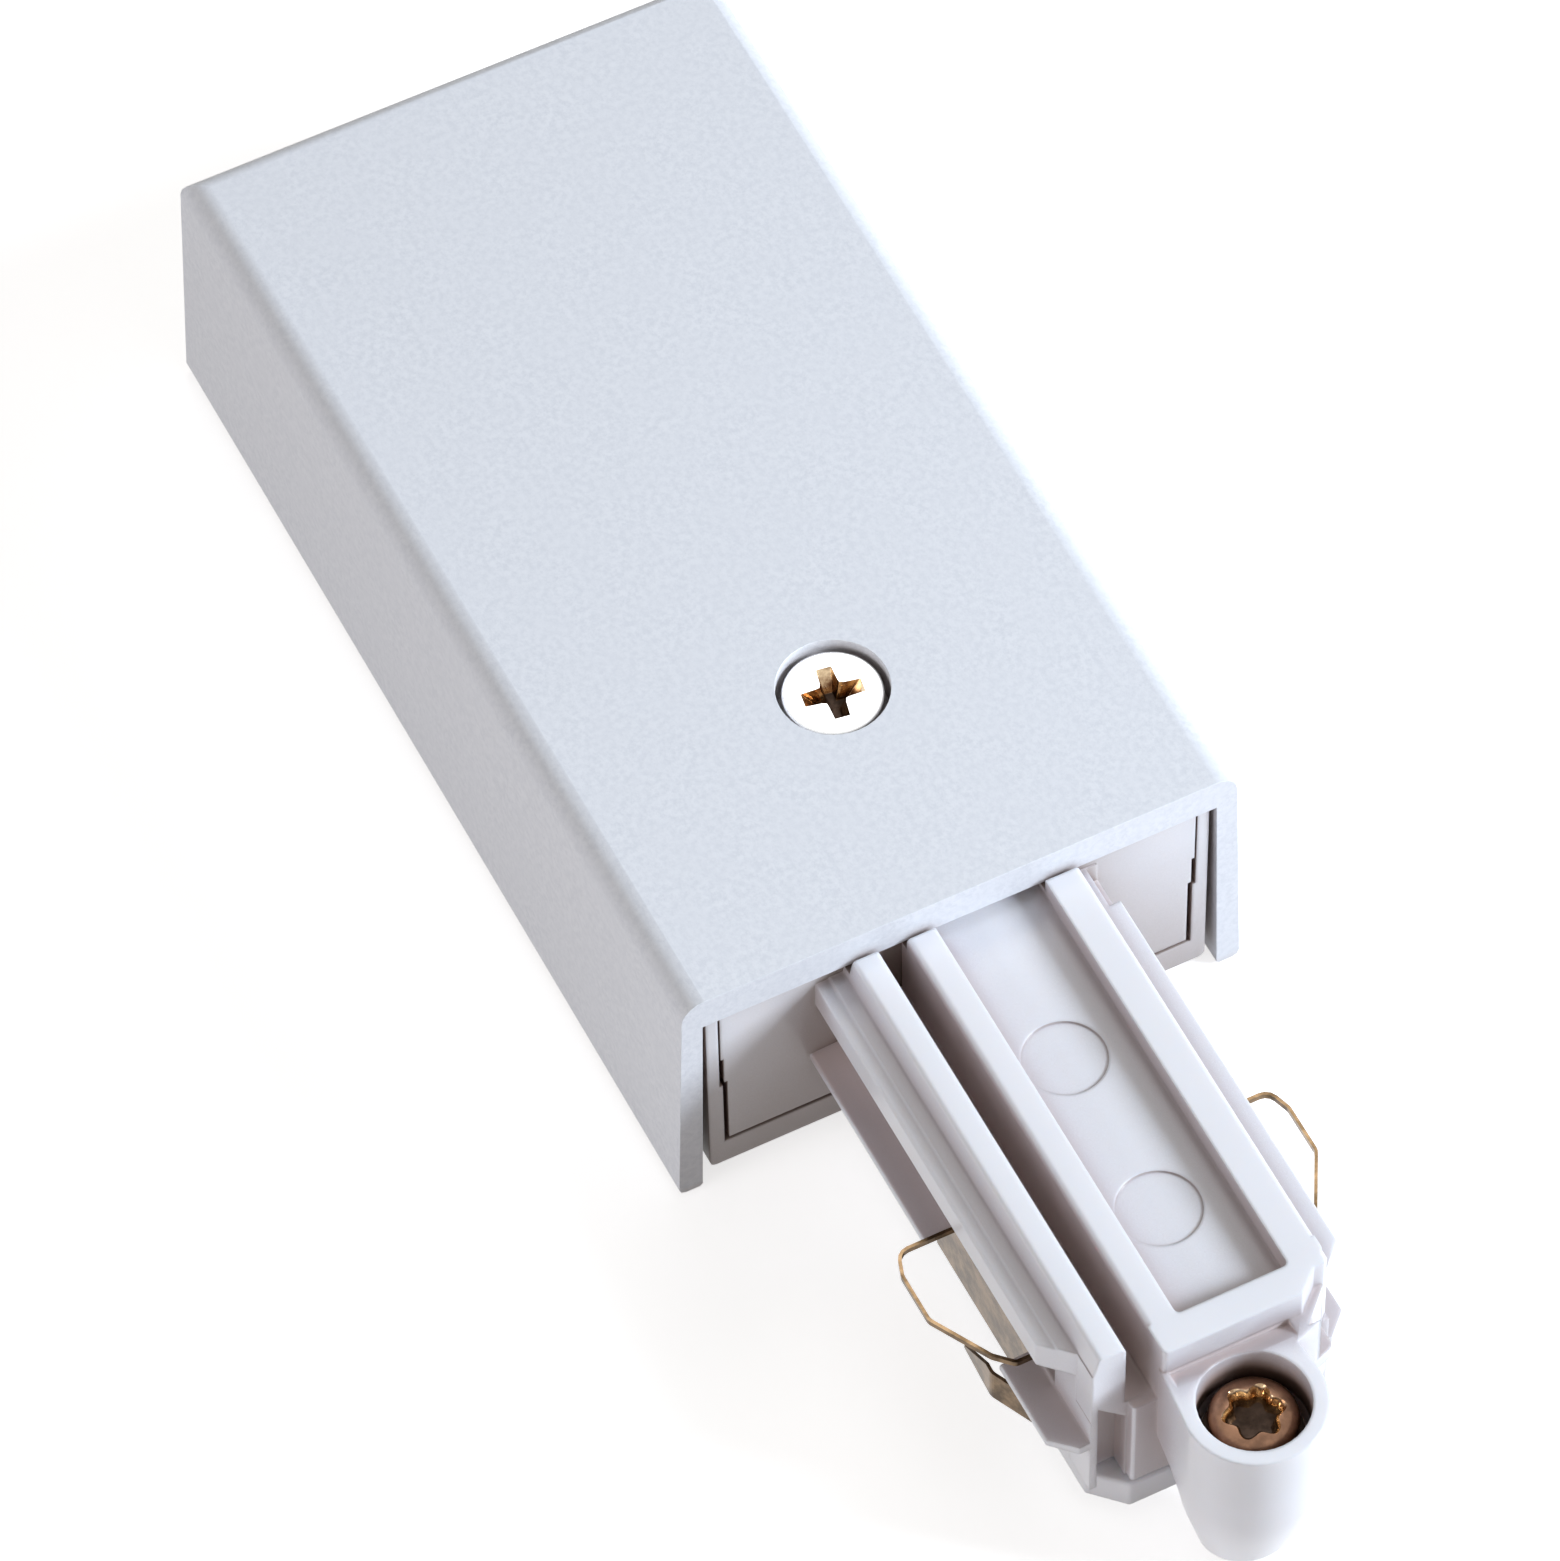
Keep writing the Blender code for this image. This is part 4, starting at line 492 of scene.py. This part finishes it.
def recess_tool(outline, centre, top, depth, taper, turn, lead):
    """A cutter with the outline at the head's face, drawn in towards its floor."""
    bm = bmesh.new()
    c, s = math.cos(turn), math.sin(turn)
    mouth = 1.0 - lead / LEAD_REACH
    levels = ((lead, 2.0 - mouth), (-lead, mouth), (-depth, taper))
    rings = []
    for rise, scale in levels:
        ring = []
        for u, v in outline:
            x = centre[0] + scale * (c * u - s * v)
            y = centre[1] + scale * (s * u + c * v)
            ring.append(bm.verts.new((x, y, top + rise)))
        rings.append(ring)
    tip = bm.verts.new((centre[0], centre[1], top - depth * RECESS_TIP))
    count = len(outline)
    bm.faces.new(rings[0])
    for i in range(count):
        j = (i + 1) % count
        for upper, lower in zip(rings, rings[1:]):
            bm.faces.new((upper[i], upper[j], lower[j], lower[i]))
        floor = bm.faces.new((rings[-1][i], rings[-1][j], tip))
        # The floor takes the second surface, which in a worn recess is near-black painted shade.
        floor.material_index = 1
    bmesh.ops.recalc_face_normals(bm, faces=bm.faces)
    return bm


def phillips(reach, half, waist):
    """A four-armed recess whose arms widen in a curve towards the middle."""
    points = []
    for arm in range(4):
        c, s = math.cos(arm * math.pi / 2), math.sin(arm * math.pi / 2)
        side = [(waist, -waist * 0.92), (waist * 1.35, -half * 1.15), (reach, -half)]
        edge = side + [(u, -v) for u, v in reversed(side)][:2]
        points.extend((c * u - s * v, s * u + c * v) for u, v in edge)
    return points


def six_lobes(outer, inner, steps=72):
    middle, swing = (outer + inner) / 2, (outer - inner) / 2
    points = []
    for i in range(steps):
        angle = 2 * math.pi * i / steps
        radius = middle + swing * math.cos(6 * angle)
        points.append((radius * math.cos(angle), radius * math.sin(angle)))
    return points


def slot(length, half):
    return [(-length, -half), (length, -half), (length, half), (-length, half)]


def carved(name, body, tool, body_material, wall_material, floor_material):
    """The body less the tool, with their own materials on the cut's wall and floor."""
    parts = []
    for label, bm, surfaces in (
        ("body", body, [body_material]),
        ("tool", tool, [wall_material, floor_material]),
    ):
        mesh = bpy.data.meshes.new(f"{name}_{label}")
        bm.to_mesh(mesh)
        bm.free()
        for surface in surfaces:
            mesh.materials.append(surface)
        made = bpy.data.objects.new(f"{name}_{label}", mesh)
        bpy.context.scene.collection.objects.link(made)
        parts.append(made)
    step = parts[0].modifiers.new("cut", "BOOLEAN")
    step.operation = "DIFFERENCE"
    step.solver = "EXACT"
    step.material_mode = "TRANSFER"
    step.object = parts[1]
    graph = bpy.context.evaluated_depsgraph_get()
    mesh = bpy.data.meshes.new_from_object(parts[0].evaluated_get(graph))
    mesh.name = name
    for made in parts:
        old = made.data
        bpy.data.objects.remove(made, do_unlink=True)
        bpy.data.meshes.remove(old)
    mesh.shade_smooth()
    mesh.set_sharp_from_angle(angle=SCREW_ANGLE)
    piece = bpy.data.objects.new(name, mesh)
    bpy.context.scene.collection.objects.link(piece)
    edge = piece.modifiers.new("edge", "BEVEL")
    edge.width = SCREW_EDGE
    edge.segments = SCREW_SEGMENTS
    edge.limit_method = "ANGLE"
    edge.angle_limit = SCREW_ANGLE
    return piece


def finished_screw(node, profile, outline, depth, taper, turn, lead, materials, surfaces):
    """Stands for a CAD screw: a finer head of the same size with a tapered recess.

    The recess has the turn, in degrees, a lead at its mouth, and surfaces for its wall
    and its floor.
    """
    low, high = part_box(node)
    centre = ((low[0] + high[0]) / 2, (low[1] + high[1]) / 2)
    radius = (high[0] - low[0]) / 2
    top = high[2]
    body = lathe([(radius * r, top - d) for r, d in profile(top - low[2])], centre)
    scaled = [(radius * u, radius * v) for u, v in outline]
    tool = recess_tool(scaled, centre, top, depth, taper, math.radians(turn), lead)
    wall, floor = (materials[name] for name in surfaces)
    piece = carved(f"{node}_head", body, tool, materials[finish_of(node)], wall, floor)
    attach(piece, frame["nodes"][node]["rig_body"])
    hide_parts(node)


def flat_head(length):
    """Radius as a share of the head's, and depth below its face."""
    return [
        (0.0, 0.0), (0.5, 0.0), (0.93, 0.0), (0.965, 0.0), (0.985, 0.03 * MM), (1.0, 0.09 * MM),
        (1.0, 0.5 * MM), (0.8, 1.8 * MM), (0.445, 1.8 * MM), (0.445, length - 2.6 * MM),
        (0.11, length), (0.0, length),
    ]


def domed_head(length):
    return [
        (0.0, 0.0), (0.35, 0.0), (0.62, 0.04 * MM), (0.80, 0.14 * MM), (0.92, 0.32 * MM),
        (0.985, 0.55 * MM), (1.0, 0.75 * MM), (1.0, 1.35 * MM), (0.549, 1.35 * MM),
        (0.549, length - 1.4 * MM), (0.27, length), (0.0, length),
    ]


def small_head(shank, thickness, dome):
    def profile(length):
        return [
            (0.0, 0.0), (0.55, dome * 0.15), (0.86, dome * 0.55), (0.97, dome), (1.0, dome * 1.5),
            (1.0, thickness), (shank, thickness), (shank, length - 1.2 * MM), (shank / 2, length),
            (0.0, length),
        ]
    return profile


def finish_screws(materials):
    # The worn recesses take painted shade: walls blackened by occlusion and a near-black floor.
    worn_and_shaded = ("recess", "dull")
    plain = ("zinc", "zinc")
    finished_screw(
        "cover_screw", flat_head, phillips(0.61, 0.155, 0.21),
        depth=1.25 * MM, taper=0.5, turn=-9, lead=0.06 * MM, materials=materials, surfaces=worn_and_shaded,
    )
    finished_screw(
        "lock_screw", domed_head, six_lobes(0.77, 0.56),
        depth=1.25 * MM, taper=0.68, turn=18, lead=0.25 * MM, materials=materials, surfaces=worn_and_shaded,
    )
    for name in ("live", "neutral", "earth"):
        finished_screw(
            f"{name}_terminal_screw", small_head(0.735, 1.2 * MM, 0.2 * MM), slot(1.2, 0.15),
            depth=0.55 * MM, taper=0.9, turn=20, lead=0.05 * MM, materials=materials, surfaces=plain,
        )
    for side, turn in (("left", 23), ("right", 51)):
        finished_screw(
            f"clamp_screw_{side}", small_head(0.5, 1.5 * MM, 0.5 * MM), phillips(0.58, 0.13, 0.22),
            depth=0.95 * MM, taper=0.45, turn=turn, lead=0.05 * MM, materials=materials, surfaces=plain,
        )


def dress_nodes(materials):
    for node, piece in frame["nodes"].items():
        piece.data.materials.clear()
        piece.data.materials.append(materials[finish_of(node)])


# The studio


def look_matrix(place, right, forward):
    x = Vector(right).normalized()
    z = -Vector(forward).normalized()
    y = z.cross(x).normalized()
    x = y.cross(z).normalized()
    turned = Matrix((x, y, z)).transposed().to_4x4()
    turned.translation = Vector(place)
    return turned


def make_camera():
    data = bpy.data.cameras.new("camera")
    data.lens = CAMERA_LENS
    data.sensor_width = CAMERA_SENSOR
    data.clip_start = CAMERA_NEAR
    data.clip_end = CAMERA_FAR
    camera = bpy.data.objects.new("camera", data)
    bpy.context.scene.collection.objects.link(camera)
    camera.matrix_world = look_matrix(CAMERA_PLACE, CAMERA_RIGHT, CAMERA_FORWARD)
    bpy.context.scene.camera = camera


def area_light(name, place, size, power, colour):
    data = bpy.data.lights.new(name, "AREA")
    data.shape = "SQUARE"
    data.size = size
    data.energy = power
    data.color = colour
    light = bpy.data.objects.new(name, data)
    light.location = place
    toward = Vector(LAMP_TARGET) - Vector(place)
    light.rotation_euler = toward.to_track_quat("-Z", "Y").to_euler()
    bpy.context.scene.collection.objects.link(light)


def rays_that_see(nodes, links, path):
    """1 for camera, glossy and transmission rays, which see the white surroundings."""
    most = path.outputs["Is Camera Ray"]
    for kind in ("Is Glossy Ray", "Is Transmission Ray"):
        made = nodes.new("ShaderNodeMath")
        made.operation = "MAXIMUM"
        links.new(most, made.inputs[0])
        links.new(path.outputs[kind], made.inputs[1])
        most = made.outputs["Value"]
    return most


def make_floor():
    """A plain floor just under the part, which shows white with a soft shadow."""
    mesh = bpy.data.meshes.new("floor")
    bm = bmesh.new()
    bmesh.ops.create_grid(bm, x_segments=1, y_segments=1, size=FLOOR_SIZE)
    bm.to_mesh(mesh)
    bm.free()
    floor = bpy.data.objects.new("floor", mesh)
    floor.location = (0.0, 0.0, -FLOOR_DROP)
    bpy.context.scene.collection.objects.link(floor)
    made = bpy.data.materials.new("floor")
    made.use_nodes = True
    nodes, links = made.node_tree.nodes, made.node_tree.links
    nodes.clear()
    output = nodes.new("ShaderNodeOutputMaterial")
    mixed = nodes.new("ShaderNodeMixShader")
    path = nodes.new("ShaderNodeLightPath")
    plain = nodes.new("ShaderNodeBsdfDiffuse")
    plain.inputs["Color"].default_value = (*FLOOR_BOUNCE, 1.0)
    glow = nodes.new("ShaderNodeEmission")
    glow.inputs["Color"].default_value = (*WHITE, 1.0)
    glow.inputs["Strength"].default_value = FLOOR_GLOW
    pale = nodes.new("ShaderNodeBsdfDiffuse")
    pale.inputs["Color"].default_value = (*FLOOR_PALE, 1.0)
    seen = nodes.new("ShaderNodeAddShader")
    links.new(pale.outputs["BSDF"], seen.inputs[0])
    links.new(glow.outputs["Emission"], seen.inputs[1])
    links.new(rays_that_see(nodes, links, path), mixed.inputs["Fac"])
    links.new(plain.outputs["BSDF"], mixed.inputs[1])
    links.new(seen.outputs["Shader"], mixed.inputs[2])
    links.new(mixed.outputs["Shader"], output.inputs["Surface"])
    mesh.materials.append(made)


def make_world():
    world = bpy.data.worlds.new("studio")
    bpy.context.scene.world = world
    world.use_nodes = True
    nodes, links = world.node_tree.nodes, world.node_tree.links
    nodes.clear()
    output = nodes.new("ShaderNodeOutputWorld")
    mixed = nodes.new("ShaderNodeMixShader")
    path = nodes.new("ShaderNodeLightPath")
    ambient = nodes.new("ShaderNodeBackground")
    ambient.inputs["Color"].default_value = (*WORLD_COLOUR, 1.0)
    ambient.inputs["Strength"].default_value = WORLD_STRENGTH
    white = nodes.new("ShaderNodeBackground")
    white.inputs["Color"].default_value = (*WHITE, 1.0)
    white.inputs["Strength"].default_value = 1.0
    links.new(rays_that_see(nodes, links, path), mixed.inputs["Fac"])
    links.new(ambient.outputs["Background"], mixed.inputs[1])
    links.new(white.outputs["Background"], mixed.inputs[2])
    links.new(mixed.outputs["Shader"], output.inputs["Surface"])


def make_studio():
    bpy.context.scene.view_settings.view_transform = "Standard"
    make_world()
    make_floor()
    for name, (place, size, power, colour) in LAMPS.items():
        area_light(name, place, size, power, colour)
    make_camera()


materials = build_materials()
dress_nodes(materials)
for moulded, width in SHELL_EDGES.items():
    refined(moulded, materials, width)
finish_screws(materials)
make_studio()
